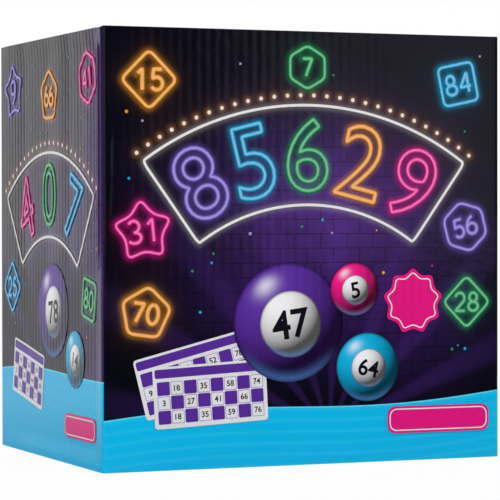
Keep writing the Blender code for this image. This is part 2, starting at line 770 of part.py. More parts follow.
def build_rear_shell(ball_core, base_cut, button_bore):
    """Rear half with screw columns, board posts, button holes and the power slot."""
    shell = turned_part("rear_shell", shell_profile(False), PURPLE_GLOSS, False, (0, 0, 0), FACING_REAR)
    columns = []
    recesses = []
    shanks = []
    hole = SCREW_SHANK_RADIUS + SCREW_CLEARANCE
    for x, z in boss_places():
        columns.append(rod_mesh("column", BOSS_RADIUS, (x, GAP / 2, z), (x, BALL_RADIUS, z), 12))
        seat = SCREW_HEAD_RADIUS + SCREW_CLEARANCE
        recesses.append(rod_mesh("recess", seat, (x, SCREW_SEAT, z), (x, BALL_RADIUS, z), 12))
        shanks.append(rod_mesh("shank", hole, (x, -OVERRUN, z), (x, SCREW_SEAT + OVERRUN, z), 8))
    for x in (-MAIN_POST_X, MAIN_POST_X):
        start = (x, main_board_back + GAP, 0)
        columns.append(rod_mesh("post", MAIN_POST_RADIUS, start, (x, BALL_RADIUS, 0), 12))
        shanks.append(rod_mesh("pilot", hole, (x, MAIN_BOARD_Y, 0), (x, main_board_back + SCREW_BITE, 0), 8))
    columns_guide = add_cutter("rear_columns", merge_meshes("rear_columns", *columns), caller_frame)
    combine(columns_guide, ball_core, "INTERSECT")
    for x in (-REAR_BUTTON_X, REAR_BUTTON_X):
        bore = REAR_BUTTON_RADIUS + BUTTON_CLEARANCE
        start = (x, main_board_back, REAR_BUTTON_Z)
        recesses.append(rod_mesh("button", bore, start, (x, BALL_RADIUS, REAR_BUTTON_Z), 16))
    slot_left = -POWER_STEM_WIDTH / 2 - SLOT_CLEARANCE
    slot_right = POWER_TRAVEL + POWER_STEM_WIDTH / 2 + SLOT_CLEARANCE
    slot_half = POWER_STEM_HEIGHT / 2 + SLOT_CLEARANCE
    slot_shift = POWER_TRAVEL / 2
    slot = box_mesh(
        "power_slot",
        (slot_left - slot_shift, MAIN_BOARD_Y, POWER_Z - slot_half),
        (slot_right - slot_shift, BALL_RADIUS + OVERRUN, POWER_Z + slot_half),
    )
    recess_guide = add_cutter("rear_recesses", merge_meshes("rear_recesses", *recesses), caller_frame)
    shank_guide = add_cutter("rear_shanks", merge_meshes("rear_shanks", *shanks), caller_frame)
    join(shell, columns_guide)
    slot_guide = add_cutter("power_slot", slot, caller_frame)
    cut(shell, base_cut, button_bore, recess_guide, shank_guide, slot_guide)


def build_shells():
    """Both halves of the ball, cut flat below and open at the top for the call button."""
    ball_core = add_ball_core()
    wide = 2 * BALL_RADIUS
    base = box_mesh("base_cut", (-wide, -wide, -wide), (wide, wide, -BASE_DROP))
    base_cut = add_cutter("base_cut", base, caller_frame)
    radius = BUTTON_RADIUS + BUTTON_CLEARANCE
    bore = rod_mesh("button_bore", radius, (0, 0, CARRIER_TOP), (0, 0, wide), TURNING_STEPS)
    button_bore = add_cutter("button_bore", bore, caller_frame)
    build_front_shell(ball_core, base_cut, button_bore)
    build_rear_shell(ball_core, base_cut, button_bore)


def build_shell_screws():
    """Screws that join the shells from the rear."""
    for number, (x, z) in enumerate(boss_places(), 1):
        place = (x, SCREW_SEAT + GAP, z)
        profile = screw_profile(SCREW_SEAT + SCREW_BITE)
        turned_part(f"shell_screw_{number}", profile, STEEL, False, place, FACING_REAR, 10)


def screw_profile(reach, head_height=SCREW_HEAD_HEIGHT):
    """Pan-head screw about its own Z, head up, with the seat at zero."""
    return [
        (0, head_height),
        (SCREW_HEAD_RADIUS, head_height),
        (SCREW_HEAD_RADIUS, 0),
        (SCREW_SHANK_RADIUS, 0),
        (SCREW_SHANK_RADIUS, -reach),
        (0, -reach),
    ]


# Display
def segment_outlines(extra):
    """Outlines of the fourteen strokes of a two-digit display, grown by an extra width."""
    outlines = []
    half_w = DIGIT_WIDTH / 2
    half_h = DIGIT_HEIGHT / 2
    reach = STROKE / 2 + extra
    for digit in (-DIGIT_SPACING / 2, DIGIT_SPACING / 2):
        across = half_w - SEGMENT_SPACING + extra
        along = half_h / 2 - SEGMENT_SPACING + extra
        for y in (-half_h, 0, half_h):
            outlines.append(
                [
                    (digit - across, y),
                    (digit - across + reach, y - reach),
                    (digit + across - reach, y - reach),
                    (digit + across, y),
                    (digit + across - reach, y + reach),
                    (digit - across + reach, y + reach),
                ]
            )
        for x in (digit - half_w, digit + half_w):
            for y in (-half_h / 2, half_h / 2):
                outlines.append(
                    [
                        (x, y - along),
                        (x + reach, y - along + reach),
                        (x + reach, y + along - reach),
                        (x, y + along),
                        (x - reach, y + along - reach),
                        (x - reach, y - along + reach),
                    ]
                )
    return outlines


def strokes_mesh(name, low, high, extra):
    """The fourteen strokes as separate prisms."""
    plates = [plate_mesh("stroke", low, high, outline) for outline in segment_outlines(extra)]
    return merge_meshes(name, *plates)


def build_display():
    """White face with slots, diffuser with raised strokes, light baffle and board of lamps."""
    face_front = FACET_OFFSET + FACE_PROUD
    face_back = face_front - FACE_THICKNESS
    outline = rounded_rectangle(
        WINDOW_WIDTH - 2 * GAP, WINDOW_HEIGHT - 2 * GAP, WINDOW_CORNER_RADIUS - GAP
    )
    face_mesh = plate_mesh("display_face", face_back, face_front, outline, *segment_outlines(GAP))
    add_part("display_face", face_mesh, WHITE_PLASTIC, caller_frame, (0, 0, 0), FACING_FRONT)

    outline = rounded_rectangle(DIFFUSER_WIDTH, DIFFUSER_HEIGHT, DIFFUSER_CORNER_RADIUS)
    plate_front = min(diffuser_front, face_back - GAP)
    plate = plate_mesh("segment_diffuser", diffuser_back, plate_front, outline)
    diffuser = add_part("segment_diffuser", plate, PINK_LIGHT, caller_frame, (0, 0, 0), FACING_FRONT)
    strokes = strokes_mesh("raised_strokes", diffuser_back + DIFFUSER_THICKNESS / 3, face_front - GAP, 0)
    join(diffuser, add_cutter("raised_strokes", strokes, caller_frame, (0, 0, 0), FACING_FRONT))

    outline = rectangle(-BAFFLE_WIDTH / 2, BAFFLE_WIDTH / 2, -BAFFLE_HEIGHT / 2, BAFFLE_HEIGHT / 2)
    mesh = plate_mesh("light_baffle", baffle_back, baffle_front, outline, *segment_outlines(0))
    add_part("light_baffle", mesh, WHITE_PLASTIC, caller_frame, (0, 0, 0), FACING_FRONT)

    outline = rounded_rectangle(LED_BOARD_WIDTH, LED_BOARD_HEIGHT, LED_BOARD_CORNER_RADIUS, 3)
    mesh = plate_mesh("led_board", led_board_back, led_board_front, outline)
    board = add_part("led_board", mesh, CIRCUIT, caller_frame, (0, 0, 0), FACING_FRONT)
    lamps = []
    for stroke in segment_outlines(0):
        x = sum(point[0] for point in stroke) / len(stroke)
        y = sum(point[1] for point in stroke) / len(stroke)
        half = LED_SIZE / 2
        low = (x - half, y - half, led_board_front - PANEL_BOARD / 2)
        lamps.append(box_mesh("lamp", low, (x + half, y + half, led_board_front + LED_HEIGHT)))
    join(board, add_cutter("lamps", merge_meshes("lamps", *lamps), caller_frame, (0, 0, 0), FACING_FRONT))
    hole = SCREW_SHANK_RADIUS + SCREW_CLEARANCE
    holes = []
    for number, x in enumerate((-DISPLAY_POST_X, DISPLAY_POST_X), 1):
        holes.append(
            rod_mesh("hole", hole, (x, 0, led_board_back - OVERRUN), (x, 0, led_board_front + OVERRUN), 8)
        )
        place = (x, -led_board_back + GAP, 0)
        reach = PANEL_BOARD + SCREW_BITE
        turned_part(f"display_screw_{number}", screw_profile(reach), STEEL, False, place, FACING_REAR, 10)
    holes_mesh = merge_meshes("led_board_holes", *holes)
    cut(board, add_cutter("led_board_holes", holes_mesh, caller_frame, (0, 0, 0), FACING_FRONT))


# Call button and loudspeaker
def flange_top():
    """Height of the top of the button's flange, just under the shell."""
    return sphere_height(inner_ball, BUTTON_FLANGE_RADIUS) - BUTTON_FLANGE_CLEARANCE


def build_call_button():
    """Round cap with sound holes, a skirt, a flange that holds it in, and a peg."""
    top = flange_top()
    low = top - BUTTON_FLANGE_HEIGHT
    inner_radius = BUTTON_RADIUS - BUTTON_WALL
    outer_edge = math.acos(BUTTON_RADIUS / BALL_RADIUS)
    inner_edge = math.acos(inner_radius / inner_ball)
    profile = [(0, BALL_RADIUS)]
    profile += arc(BALL_RADIUS, math.radians(90), outer_edge, 5)[1:]
    profile += [
        (BUTTON_RADIUS, top),
        (BUTTON_FLANGE_RADIUS, top),
        (BUTTON_FLANGE_RADIUS, low),
        (BUTTON_FLANGE_INNER_RADIUS, low),
        (BUTTON_FLANGE_INNER_RADIUS, top),
        (inner_radius, top),
    ]
    profile += arc(inner_ball, inner_edge, math.radians(90), 4)[:-1]
    profile += [(0, inner_ball)]
    button = turned_part("call_button", profile, PURPLE_GLOSS, False)
    peg_low = CARRIER_TOP + GAP + CALL_SWITCH_HEIGHT + CALL_PLUNGER_HEIGHT + BUTTON_TRAVEL + GAP
    peg_high = sphere_height(inner_ball, CALL_SWITCH_Y) + SHELL / 3
    peg = rod_mesh("button_peg", PEG_RADIUS, (0, CALL_SWITCH_Y, peg_low), (0, CALL_SWITCH_Y, peg_high), 10)
    join(button, add_cutter("button_peg", peg, caller_frame))
    holes = []
    for ring in range(3):
        count = 6 * ring if ring else 1
        for index in range(count):
            angle = math.tau * index / count
            x = ring * SOUND_RING_RADIUS * math.cos(angle)
            y = ring * SOUND_RING_RADIUS * math.sin(angle)
            start = (x, y, peg_low)
            holes.append(rod_mesh("sound_hole", SOUND_HOLE_RADIUS, start, (x, y, 2 * BALL_RADIUS), 8))
    cut(button, add_cutter("sound_holes", merge_meshes("sound_holes", *holes), caller_frame))


def helix(radius_low, radius_high, low, high, turns, per_turn):
    """Points of a coil about Z, with its radius going from one value to another."""
    points = []
    count = turns * per_turn
    for index in range(count + 1):
        share = index / count
        angle = math.tau * index / per_turn
        radius = radius_low + (radius_high - radius_low) * share
        height = low + (high - low) * share
        points.append(Vector((radius * math.cos(angle), radius * math.sin(angle), height)))
    return points


def build_call_spring_and_switch():
    """Coil between the speaker carrier and the button's flange, and the switch under the peg."""
    low = CARRIER_TOP + GAP + BUTTON_SPRING_WIRE
    high = flange_top() - BUTTON_FLANGE_HEIGHT - GAP - BUTTON_SPRING_WIRE
    points = helix(BUTTON_SPRING_RADIUS, BUTTON_SPRING_RADIUS, low, high, BUTTON_SPRING_TURNS, 14)
    mesh = tube_mesh("call_button_spring", points, BUTTON_SPRING_WIRE)
    add_part("call_button_spring", mesh, STEEL, caller_frame)
    half = CALL_SWITCH_SIZE / 2
    base = CARRIER_TOP + GAP
    top = base + CALL_SWITCH_HEIGHT
    mesh = box_mesh("call_switch", (-half, CALL_SWITCH_Y - half, base), (half, CALL_SWITCH_Y + half, top))
    switch = add_part("call_switch", mesh, DARK_PLASTIC, caller_frame)
    start = (0, CALL_SWITCH_Y, base + CALL_SWITCH_HEIGHT / 2)
    plunger = rod_mesh("plunger", CALL_PLUNGER_RADIUS, start, (0, CALL_SWITCH_Y, top + CALL_PLUNGER_HEIGHT), 10)
    join(switch, add_cutter("plunger", plunger, caller_frame))


def build_speaker():
    """Carrier disc trapped between the shells, with the loudspeaker hung in its hole."""
    rim = sphere_height(inner_ball, CARRIER_TOP) - CARRIER_RIM_CLEARANCE
    profile = [
        (rim, CARRIER_TOP),
        (rim, carrier_bottom),
        (CARRIER_HOLE_RADIUS, carrier_bottom),
        (CARRIER_HOLE_RADIUS, CARRIER_TOP),
    ]
    carrier = turned_part("speaker_carrier", profile, DARK_PLASTIC, True)
    wide = 2 * BALL_RADIUS
    flat = box_mesh("carrier_flat", (-wide, -wide, 0), (wide, CARRIER_RIM_CLEARANCE - facet_inner, wide))
    cut(carrier, add_cutter("carrier_flat", flat, caller_frame))

    seat = CARRIER_TOP + GAP
    flange = seat + SPEAKER_FLANGE_THICKNESS
    back = flange - SPEAKER_DEPTH
    inner_throat = SPEAKER_THROAT_RADIUS - SPEAKER_WALL
    inner_back = SPEAKER_BACK_RADIUS - SPEAKER_WALL
    profile = [
        (0, back + SPEAKER_WALL),
        (inner_back, back + SPEAKER_WALL),
        (inner_throat, flange),
        (SPEAKER_FLANGE_RADIUS, flange),
        (SPEAKER_FLANGE_RADIUS, seat),
        (SPEAKER_THROAT_RADIUS, seat),
        (SPEAKER_BACK_RADIUS, back),
        (0, back),
    ]
    turned_part("speaker_basket", profile, STEEL, False, steps=24)

    top = back - GAP
    low = top - MAGNET_HEIGHT
    profile = [(0, top), (MAGNET_RADIUS, top), (MAGNET_RADIUS, low), (0, low)]
    turned_part("speaker_magnet", profile, DARK_PLASTIC, False, steps=24)

    rim_low = flange + GAP
    rim_high = rim_low + CONE_RIM_THICKNESS
    cone_radius = inner_throat - CONE_EDGE_CLEARANCE
    rim_radius = SPEAKER_FLANGE_RADIUS - CONE_EDGE_CLEARANCE
    centre = rim_high - CONE_DEPTH
    profile = [
        (0, centre),
        (CONE_CENTRE_RADIUS, centre),
        (cone_radius, rim_high),
        (rim_radius, rim_high),
        (rim_radius, rim_low),
        (cone_radius, rim_low),
        (CONE_CENTRE_RADIUS, centre - CONE_RIM_THICKNESS),
        (0, centre - CONE_RIM_THICKNESS),
    ]
    turned_part("speaker_cone", profile, CONE_PAPER, False, steps=24)


# Main board and rear controls
def build_main_board():
    """Upright board with its sound chip, held to two posts of the rear shell."""
    outline = rounded_rectangle(MAIN_BOARD_WIDTH, MAIN_BOARD_HEIGHT, MAIN_BOARD_CORNER_RADIUS, 2)
    mesh = plate_mesh("main_board", MAIN_BOARD_Y, main_board_back, outline)
    board = add_part("main_board", mesh, CIRCUIT, caller_frame, (0, 0, 0), FACING_REAR)
    hole = SCREW_SHANK_RADIUS + SCREW_CLEARANCE
    holes = []
    for number, x in enumerate((-MAIN_POST_X, MAIN_POST_X), 1):
        start = (x, MAIN_BOARD_Y - OVERRUN, 0)
        holes.append(rod_mesh("hole", hole, start, (x, main_board_back + OVERRUN, 0), 8))
        place = (x, MAIN_BOARD_Y - GAP, 0)
        reach = PANEL_BOARD + SCREW_BITE - 2 * GAP
        turned_part(f"board_screw_{number}", screw_profile(reach), STEEL, False, place, FACING_FRONT, 10)
    cut(board, add_cutter("main_board_holes", merge_meshes("main_board_holes", *holes), caller_frame))
    half = CHIP_SIZE / 2
    low = (CHIP_X - half, MAIN_BOARD_Y - CHIP_HEIGHT, -half)
    chip = box_mesh("sound_chip", low, (CHIP_X + half, MAIN_BOARD_Y + PANEL_BOARD / 2, half))
    join(board, add_cutter("sound_chip", chip, caller_frame))


def build_rear_buttons():
    """Two small buttons over the domes of a rubber keypad."""
    base = main_board_back + GAP
    keypad_top = base + KEYPAD_THICKNESS
    dome_top = keypad_top + KEYPAD_DOME_HEIGHT
    mesh = box_mesh(
        "key_membrane",
        (-KEYPAD_WIDTH / 2, base, REAR_BUTTON_Z - KEYPAD_HEIGHT / 2),
        (KEYPAD_WIDTH / 2, keypad_top, REAR_BUTTON_Z + KEYPAD_HEIGHT / 2),
    )
    membrane = add_part("key_membrane", mesh, RUBBER, caller_frame)
    domes = []
    offset = math.hypot(REAR_BUTTON_X, REAR_BUTTON_Z)
    outer = sphere_height(BALL_RADIUS, offset) + REAR_BUTTON_PROUD
    seat = sphere_height(BALL_RADIUS, offset) - SHELL - REAR_BUTTON_FLANGE_SINK
    low = dome_top + REAR_BUTTON_TRAVEL + GAP
    for name, x in (("repeat_button", -REAR_BUTTON_X), ("new_game_button", REAR_BUTTON_X)):
        start = (x, base + KEYPAD_THICKNESS / 2, REAR_BUTTON_Z)
        domes.append(rod_mesh("dome", KEYPAD_DOME_RADIUS, start, (x, dome_top, REAR_BUTTON_Z), 12))
        edge = REAR_BUTTON_PROUD / 2
        profile = [
            (0, outer),
            (REAR_BUTTON_RADIUS - edge, outer),
            (REAR_BUTTON_RADIUS, outer - edge),
            (REAR_BUTTON_RADIUS, seat),
            (REAR_BUTTON_FLANGE_RADIUS, seat),
            (REAR_BUTTON_FLANGE_RADIUS, seat - REAR_BUTTON_FLANGE_THICKNESS),
            (REAR_BUTTON_STEM_RADIUS, seat - REAR_BUTTON_FLANGE_THICKNESS),
            (REAR_BUTTON_STEM_RADIUS, low),
            (0, low),
        ]
        turned_part(name, profile, WHITE_PLASTIC, False, (x, 0, REAR_BUTTON_Z), FACING_REAR, 16)
    join(membrane, add_cutter("domes", merge_meshes("domes", *domes), caller_frame))


def build_power_switch():
    """Three-position slide switch on the board and the knob that reaches through the shell."""
    base = main_board_back + GAP
    body_top = base + POWER_BODY_DEPTH
    mesh = box_mesh(
        "power_switch",
        (-POWER_BODY_WIDTH / 2, base, POWER_Z - POWER_BODY_HEIGHT / 2),
        (POWER_BODY_WIDTH / 2, body_top, POWER_Z + POWER_BODY_HEIGHT / 2),
    )
    add_part("power_switch", mesh, DARK_PLASTIC, caller_frame)
    left = -POWER_TRAVEL / 2
    foot_base = body_top + GAP
    mesh = box_mesh(
        "power_knob",
        (-POWER_FOOT_WIDTH / 2, foot_base, -POWER_FOOT_HEIGHT / 2),
        (POWER_FOOT_WIDTH / 2, foot_base + POWER_FOOT_THICKNESS, POWER_FOOT_HEIGHT / 2),
    )
    knob = add_part("power_knob", mesh, DARK_PLASTIC, caller_frame, (left, 0, POWER_Z))
    outer = sphere_height(BALL_RADIUS, POWER_Z) + POWER_PROUD
    stem = box_mesh(
        "power_stem",
        (-POWER_STEM_WIDTH / 2, foot_base + POWER_FOOT_THICKNESS / 2, -POWER_STEM_HEIGHT / 2),
        (POWER_STEM_WIDTH / 2, outer, POWER_STEM_HEIGHT / 2),
    )
    join(knob, add_cutter("power_stem", stem, caller_frame, (left, 0, POWER_Z)))


# Base and battery bay
def door_outline(extra):
    """Battery door with its screw tab, grown by an extra width."""
    x = bay_half_x - GAP + extra
    y = bay_half_y - GAP + extra
    tab = DOOR_TAB_WIDTH / 2 + extra
    end = bay_half_y - GAP + DOOR_TAB_LENGTH + extra
    return [(-x, -y), (x, -y), (x, y), (tab, y), (tab, end), (-tab, end), (-tab, y), (-x, y)]


def door_screw_y():
    """Distance of the door's screw from the middle of the bay."""
    return bay_half_y + DOOR_TAB_LENGTH / 2


def build_battery_box():
    """Base plate with a tapered edge that the shells trap, and the battery bay above it."""
    low_edge = sphere_height(inner_ball, base_plate_bottom) - BASE_EDGE_CLEARANCE
    high_edge = sphere_height(inner_ball, base_plate_top) - BASE_EDGE_CLEARANCE
    profile = [
        (0, base_plate_top),
        (high_edge, base_plate_top),
        (low_edge, base_plate_bottom),
        (0, base_plate_bottom),
    ]
    box = turned_part("battery_box", profile, DARK_PLASTIC, False)
    wall = BAY_WALL
    shell = box_mesh(
        "bay_block",
        (-bay_half_x - wall, -bay_half_y - wall, base_plate_bottom + BASE_PLATE / 2),
        (bay_half_x + wall, bay_half_y + wall, -BAY_TOP_DROP + wall),
    )
    boss_top = base_plate_top + DOOR_BOSS_HEIGHT
    boss = box_mesh(
        "door_boss",
        (-DOOR_BOSS_WIDTH / 2, bay_half_y + wall / 2, base_plate_bottom + BASE_PLATE / 2),
        (DOOR_BOSS_WIDTH / 2, bay_half_y + DOOR_TAB_LENGTH + wall, boss_top),
    )
    cavity = box_mesh(
        "bay_cavity",
        (-bay_half_x, -bay_half_y, base_plate_bottom - OVERRUN),
        (bay_half_x, bay_half_y, -BAY_TOP_DROP),
    )
    door_seat = base_plate_bottom + DOOR_THICKNESS + GAP
    recess = plate_mesh("door_recess", base_plate_bottom - OVERRUN, door_seat, door_outline(GAP))
    y = door_screw_y()
    hole = SCREW_SHANK_RADIUS + SCREW_CLEARANCE
    pilot_top = door_seat + DOOR_SCREW_REACH
    pilot = rod_mesh("door_pilot", hole, (0, y, base_plate_bottom), (0, y, pilot_top), 8)
    groove_profile = [
        (FOOT_OUTER_RADIUS + GAP, base_plate_bottom + FOOT_GROOVE_DEPTH),
        (FOOT_OUTER_RADIUS + GAP, base_plate_bottom - OVERRUN),
        (FOOT_INNER_RADIUS - GAP, base_plate_bottom - OVERRUN),
        (FOOT_INNER_RADIUS - GAP, base_plate_bottom + FOOT_GROOVE_DEPTH),
    ]
    groove = add_cutter("foot_groove", turn_profile("foot_groove", groove_profile, True), caller_frame)
    add_screw(groove)
    join(box, add_cutter("bay_block", shell, caller_frame), add_cutter("door_boss", boss, caller_frame))
    cut(box, add_cutter("bay_cavity", cavity, caller_frame), add_cutter("door_recess", recess, caller_frame))
    cut(box, add_cutter("door_pilot", pilot, caller_frame), groove)


def build_battery_door():
    """Door with a screw tab and two ribs that hold the cells, and its captive screw."""
    top = base_plate_bottom + DOOR_THICKNESS
    mesh = plate_mesh("battery_door", base_plate_bottom, top, door_outline(0))
    door = add_part("battery_door", mesh, DARK_PLASTIC, caller_frame)
    rib_top = cell_z - CELL_RADIUS - GAP
    ribs = []
    for y in (-bay_half_y / 2, bay_half_y / 2):
        low = (-bay_half_x + OVERRUN, y - DOOR_RIB / 2, base_plate_bottom + DOOR_THICKNESS / 2)
        ribs.append(box_mesh("rib", low, (bay_half_x - OVERRUN, y + DOOR_RIB / 2, rib_top)))
    join(door, add_cutter("door_ribs", merge_meshes("door_ribs", *ribs), caller_frame))
    y = door_screw_y()
    seat = base_plate_bottom + DOOR_SCREW_HEAD_HEIGHT + GAP
    hole = SCREW_SHANK_RADIUS + SCREW_CLEARANCE
    head = SCREW_HEAD_RADIUS + SCREW_CLEARANCE
    shank_cut = rod_mesh("door_hole", hole, (0, y, base_plate_bottom), (0, y, top + OVERRUN), 8)
    head_cut = rod_mesh("door_counterbore", head, (0, y, base_plate_bottom - OVERRUN), (0, y, seat), 12)
    cut(door, add_cutter("door_counterbore", head_cut, caller_frame))
    cut(door, add_cutter("door_hole", shank_cut, caller_frame))
    reach = DOOR_SCREW_REACH
    profile = screw_profile(reach, DOOR_SCREW_HEAD_HEIGHT)
    turn_over = (math.radians(180), 0, 0)
    turned_part("door_screw", profile, STEEL, False, (0, y, seat - GAP), turn_over, 10)


def build_foot_ring():
    """Rubber ring pressed into the groove of the base plate."""
    top = base_plate_bottom + FOOT_GROOVE_DEPTH - GAP
    profile = [
        (FOOT_OUTER_RADIUS, top),
        (FOOT_OUTER_RADIUS, foot_bottom),
        (FOOT_INNER_RADIUS, foot_bottom),
        (FOOT_INNER_RADIUS, top),
    ]
    turned_part("foot_ring", profile, RUBBER, True)


def build_cells():
    """Three cells side by side in turn about, with their contact strips and springs."""
    plate_face = bay_half_y - GAP - CONTACT_THICKNESS
    nub_tip = plate_face - GAP
    for index in range(CELL_COUNT):
        x = (index - (CELL_COUNT - 1) / 2) * CELL_PITCH
        length = CELL_LENGTH
        profile = [
            (0, length + CELL_NUB_LENGTH),
            (CELL_NUB_RADIUS, length + CELL_NUB_LENGTH),
            (CELL_NUB_RADIUS, length),
            (CELL_RADIUS, length),
            (CELL_RADIUS, 0),
            (0, 0),
        ]
        sign = 1 if index % 2 else -1
        rotation = FACING_REAR if sign > 0 else FACING_FRONT
        base = -sign * (length + CELL_NUB_LENGTH - nub_tip)
        place = (x, base, cell_z)
        turned_part(f"battery_cell_{index + 1}", profile, CELL_WRAP, False, place, rotation, 20)
        gap_low = GAP + CONTACT_SPRING_WIRE
        gap_high = 2 * nub_tip - length - CELL_NUB_LENGTH - CONTACT_SPRING_WIRE
        points = helix(
            CONTACT_SPRING_END_RADIUS,
            CONTACT_SPRING_RADIUS,
            gap_low,
            gap_high,
            CONTACT_SPRING_TURNS,
            10,
        )
        mesh = tube_mesh(f"contact_spring_{index + 1}", points, CONTACT_SPRING_WIRE)
        turned = FACING_FRONT if sign > 0 else FACING_REAR
        add_part(f"contact_spring_{index + 1}", mesh, STEEL, caller_frame, place, turned)
    half = CONTACT_HEIGHT / 2
    width = bay_half_x - OVERRUN
    for name, sign in (("contact_strip_front", -1), ("contact_strip_rear", 1)):
        ends = sorted((sign * plate_face, sign * (bay_half_y - GAP)))
        mesh = box_mesh(name, (-width, ends[0], cell_z - half), (width, ends[1], cell_z + half))
        add_part(name, mesh, STEEL, caller_frame)


# Wires inside the caller
def smooth_route(corners):
    """Smooth curve through the inner corners, with a straight run to each end."""
    points = [Vector(corners[0])]
    for index in range(1, len(corners) - 2):
        p0, p1, p2, p3 = (Vector(point) for point in corners[index - 1 : index + 3])
        for step in range(WIRE_POINTS_PER_SPAN):
            t = step / WIRE_POINTS_PER_SPAN
            bend = (2 * p0 - 5 * p1 + 4 * p2 - p3) * t**2 + (3 * p1 - p0 - 3 * p2 + p3) * t**3
            points.append((2 * p1 + (p2 - p0) * t + bend) / 2)
    points.append(Vector(corners[-2]))
    points.append(Vector(corners[-1]))
    return points


def build_wires():
    """Leads from the speaker, the battery bay and the display to the main board."""
    board = MAIN_BOARD_Y - GAP
    magnet_low = CARRIER_TOP + SPEAKER_FLANGE_THICKNESS - SPEAKER_DEPTH - MAGNET_HEIGHT - GAP
    bay_rear = bay_half_y + BAY_WALL + GAP
    near_board = board - WIRE_END_RUN
    bay_exit = bay_rear + WIRE_END_RUN
    display_rear = GAP - led_board_back
    display_exit = display_rear + WIRE_END_RUN
    magnet_exit = magnet_low - WIRE_END_RUN
    routes = {
        "speaker_lead": [
            (0.004, 0.0, magnet_low),
            (0.004, 0.001, magnet_exit),
            (0.005, 0.018, 0.040),
            (0.006, 0.040, 0.030),
            (0.006, near_board, 0.022),
            (0.006, board, 0.022),
        ],
        "battery_lead": [
            (0.016, bay_rear, -0.060),
            (0.016, bay_exit, -0.060),
            (0.016, 0.047, -0.050),
            (0.016, 0.050, -0.034),
            (0.016, near_board, -0.022),
            (0.016, board, -0.022),
        ],
        "display_lead": [
            (-0.020, display_rear, -0.036),
            (-0.020, display_exit, -0.036),
            (-0.020, -0.014, -0.044),
            (-0.020, 0.020, -0.044),
            (-0.020, 0.042, -0.030),
            (-0.020, near_board, -0.018),
            (-0.020, board, -0.018),
        ],
    }
    for name, corners in routes.items():
        mesh = tube_mesh(name, smooth_route(corners), WIRE_RADIUS)
        add_part(name, mesh, WIRE_RED, caller_frame)


build_sleeve()
build_glue_flap()
build_bottom_flaps()
build_lid()
build_tuck_flap()
build_dust_flaps()
build_fitments()
build_cards()
build_shells()
build_shell_screws()
build_display()
build_call_button()
build_call_spring_and_switch()
build_speaker()
build_main_board()
build_rear_buttons()
build_power_switch()
build_battery_box()
build_battery_door()
build_foot_ring()
build_cells()
build_wires()
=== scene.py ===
"""Looks of a boxed electronic number game.

A printed corrugated carton with a tuck lid holds a ball-shaped number caller, four packs of
cards and folded rules. Every size is in metres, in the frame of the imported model: the origin
is the middle of the carton's base, the printed front faces -Y and Z is up.
"""

import logging
import math
import random
from dataclasses import dataclass
from enum import Enum
from functools import lru_cache
from typing import Iterable, Optional, Sequence, Union

import bmesh
import bpy
import numpy as np
from mathutils import Matrix, Vector, noise


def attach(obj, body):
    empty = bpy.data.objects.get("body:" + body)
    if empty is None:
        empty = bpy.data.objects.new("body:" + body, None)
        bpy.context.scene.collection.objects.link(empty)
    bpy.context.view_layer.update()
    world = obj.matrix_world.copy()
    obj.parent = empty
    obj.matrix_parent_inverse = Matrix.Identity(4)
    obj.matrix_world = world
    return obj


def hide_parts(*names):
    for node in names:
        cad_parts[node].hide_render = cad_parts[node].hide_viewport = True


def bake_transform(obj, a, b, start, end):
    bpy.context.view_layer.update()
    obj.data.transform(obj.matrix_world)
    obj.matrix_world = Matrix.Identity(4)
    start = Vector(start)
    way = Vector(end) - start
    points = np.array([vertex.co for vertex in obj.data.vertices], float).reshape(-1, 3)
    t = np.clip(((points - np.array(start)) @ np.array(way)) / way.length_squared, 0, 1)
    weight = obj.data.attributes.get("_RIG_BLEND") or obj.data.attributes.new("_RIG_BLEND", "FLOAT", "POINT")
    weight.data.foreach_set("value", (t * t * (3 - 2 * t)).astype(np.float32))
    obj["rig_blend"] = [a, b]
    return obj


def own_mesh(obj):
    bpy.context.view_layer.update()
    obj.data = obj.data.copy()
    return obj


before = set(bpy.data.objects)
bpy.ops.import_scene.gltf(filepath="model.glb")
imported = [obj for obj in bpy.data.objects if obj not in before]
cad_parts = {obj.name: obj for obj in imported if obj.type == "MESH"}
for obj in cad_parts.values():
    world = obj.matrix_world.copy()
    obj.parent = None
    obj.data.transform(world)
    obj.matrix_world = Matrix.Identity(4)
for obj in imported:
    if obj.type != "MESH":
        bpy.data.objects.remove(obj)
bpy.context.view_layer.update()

LOG = logging.getLogger("number_game")

Point = tuple[float, float]
Place = tuple[float, float, float]
Colour = tuple[float, float, float]
Shape = bmesh.types.BMesh
Mesh = bpy.types.Mesh
Piece = bpy.types.Object
Socket = bpy.types.NodeSocket
Value = Union[float, tuple[float, ...], Socket]

# Carton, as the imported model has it
WIDTH, DEPTH, HEIGHT = 0.270, 0.210, 0.270
BOARD = 0.003
FOLD_RADIUS = 0.003
SIDE_HEIGHT = 0.2694
LID_TOP = 0.2696
LID_SIDE = 0.1314
LID_FRONT = -0.1012
LID_REAR = 0.1028
TUCK_FOLD_Z = 0.2663
TUCK_SIDE = LID_SIDE - 0.0025
TUCK_LEAN = math.radians(8)
TUCK_LENGTH = 0.030
FLAP_TOP = 0.2663
FLAP_FOLD_X = 0.1317

# Number caller, about the ball's centre
BALL_CENTRE = Vector((-0.026, 0.0, 0.1301))
BALL_RADIUS = 0.088
BALL_WALL = 0.0022
BALL_INNER = BALL_RADIUS - BALL_WALL
CARRIER_TOP = 0.0640
CLEARANCE = 0.0003
DISPLAY_POST_X = 0.0545
BOARD_POST_X = 0.033
KEY_X, KEY_Z = 0.013, 0.024
SCREW_HOLE = 0.0016

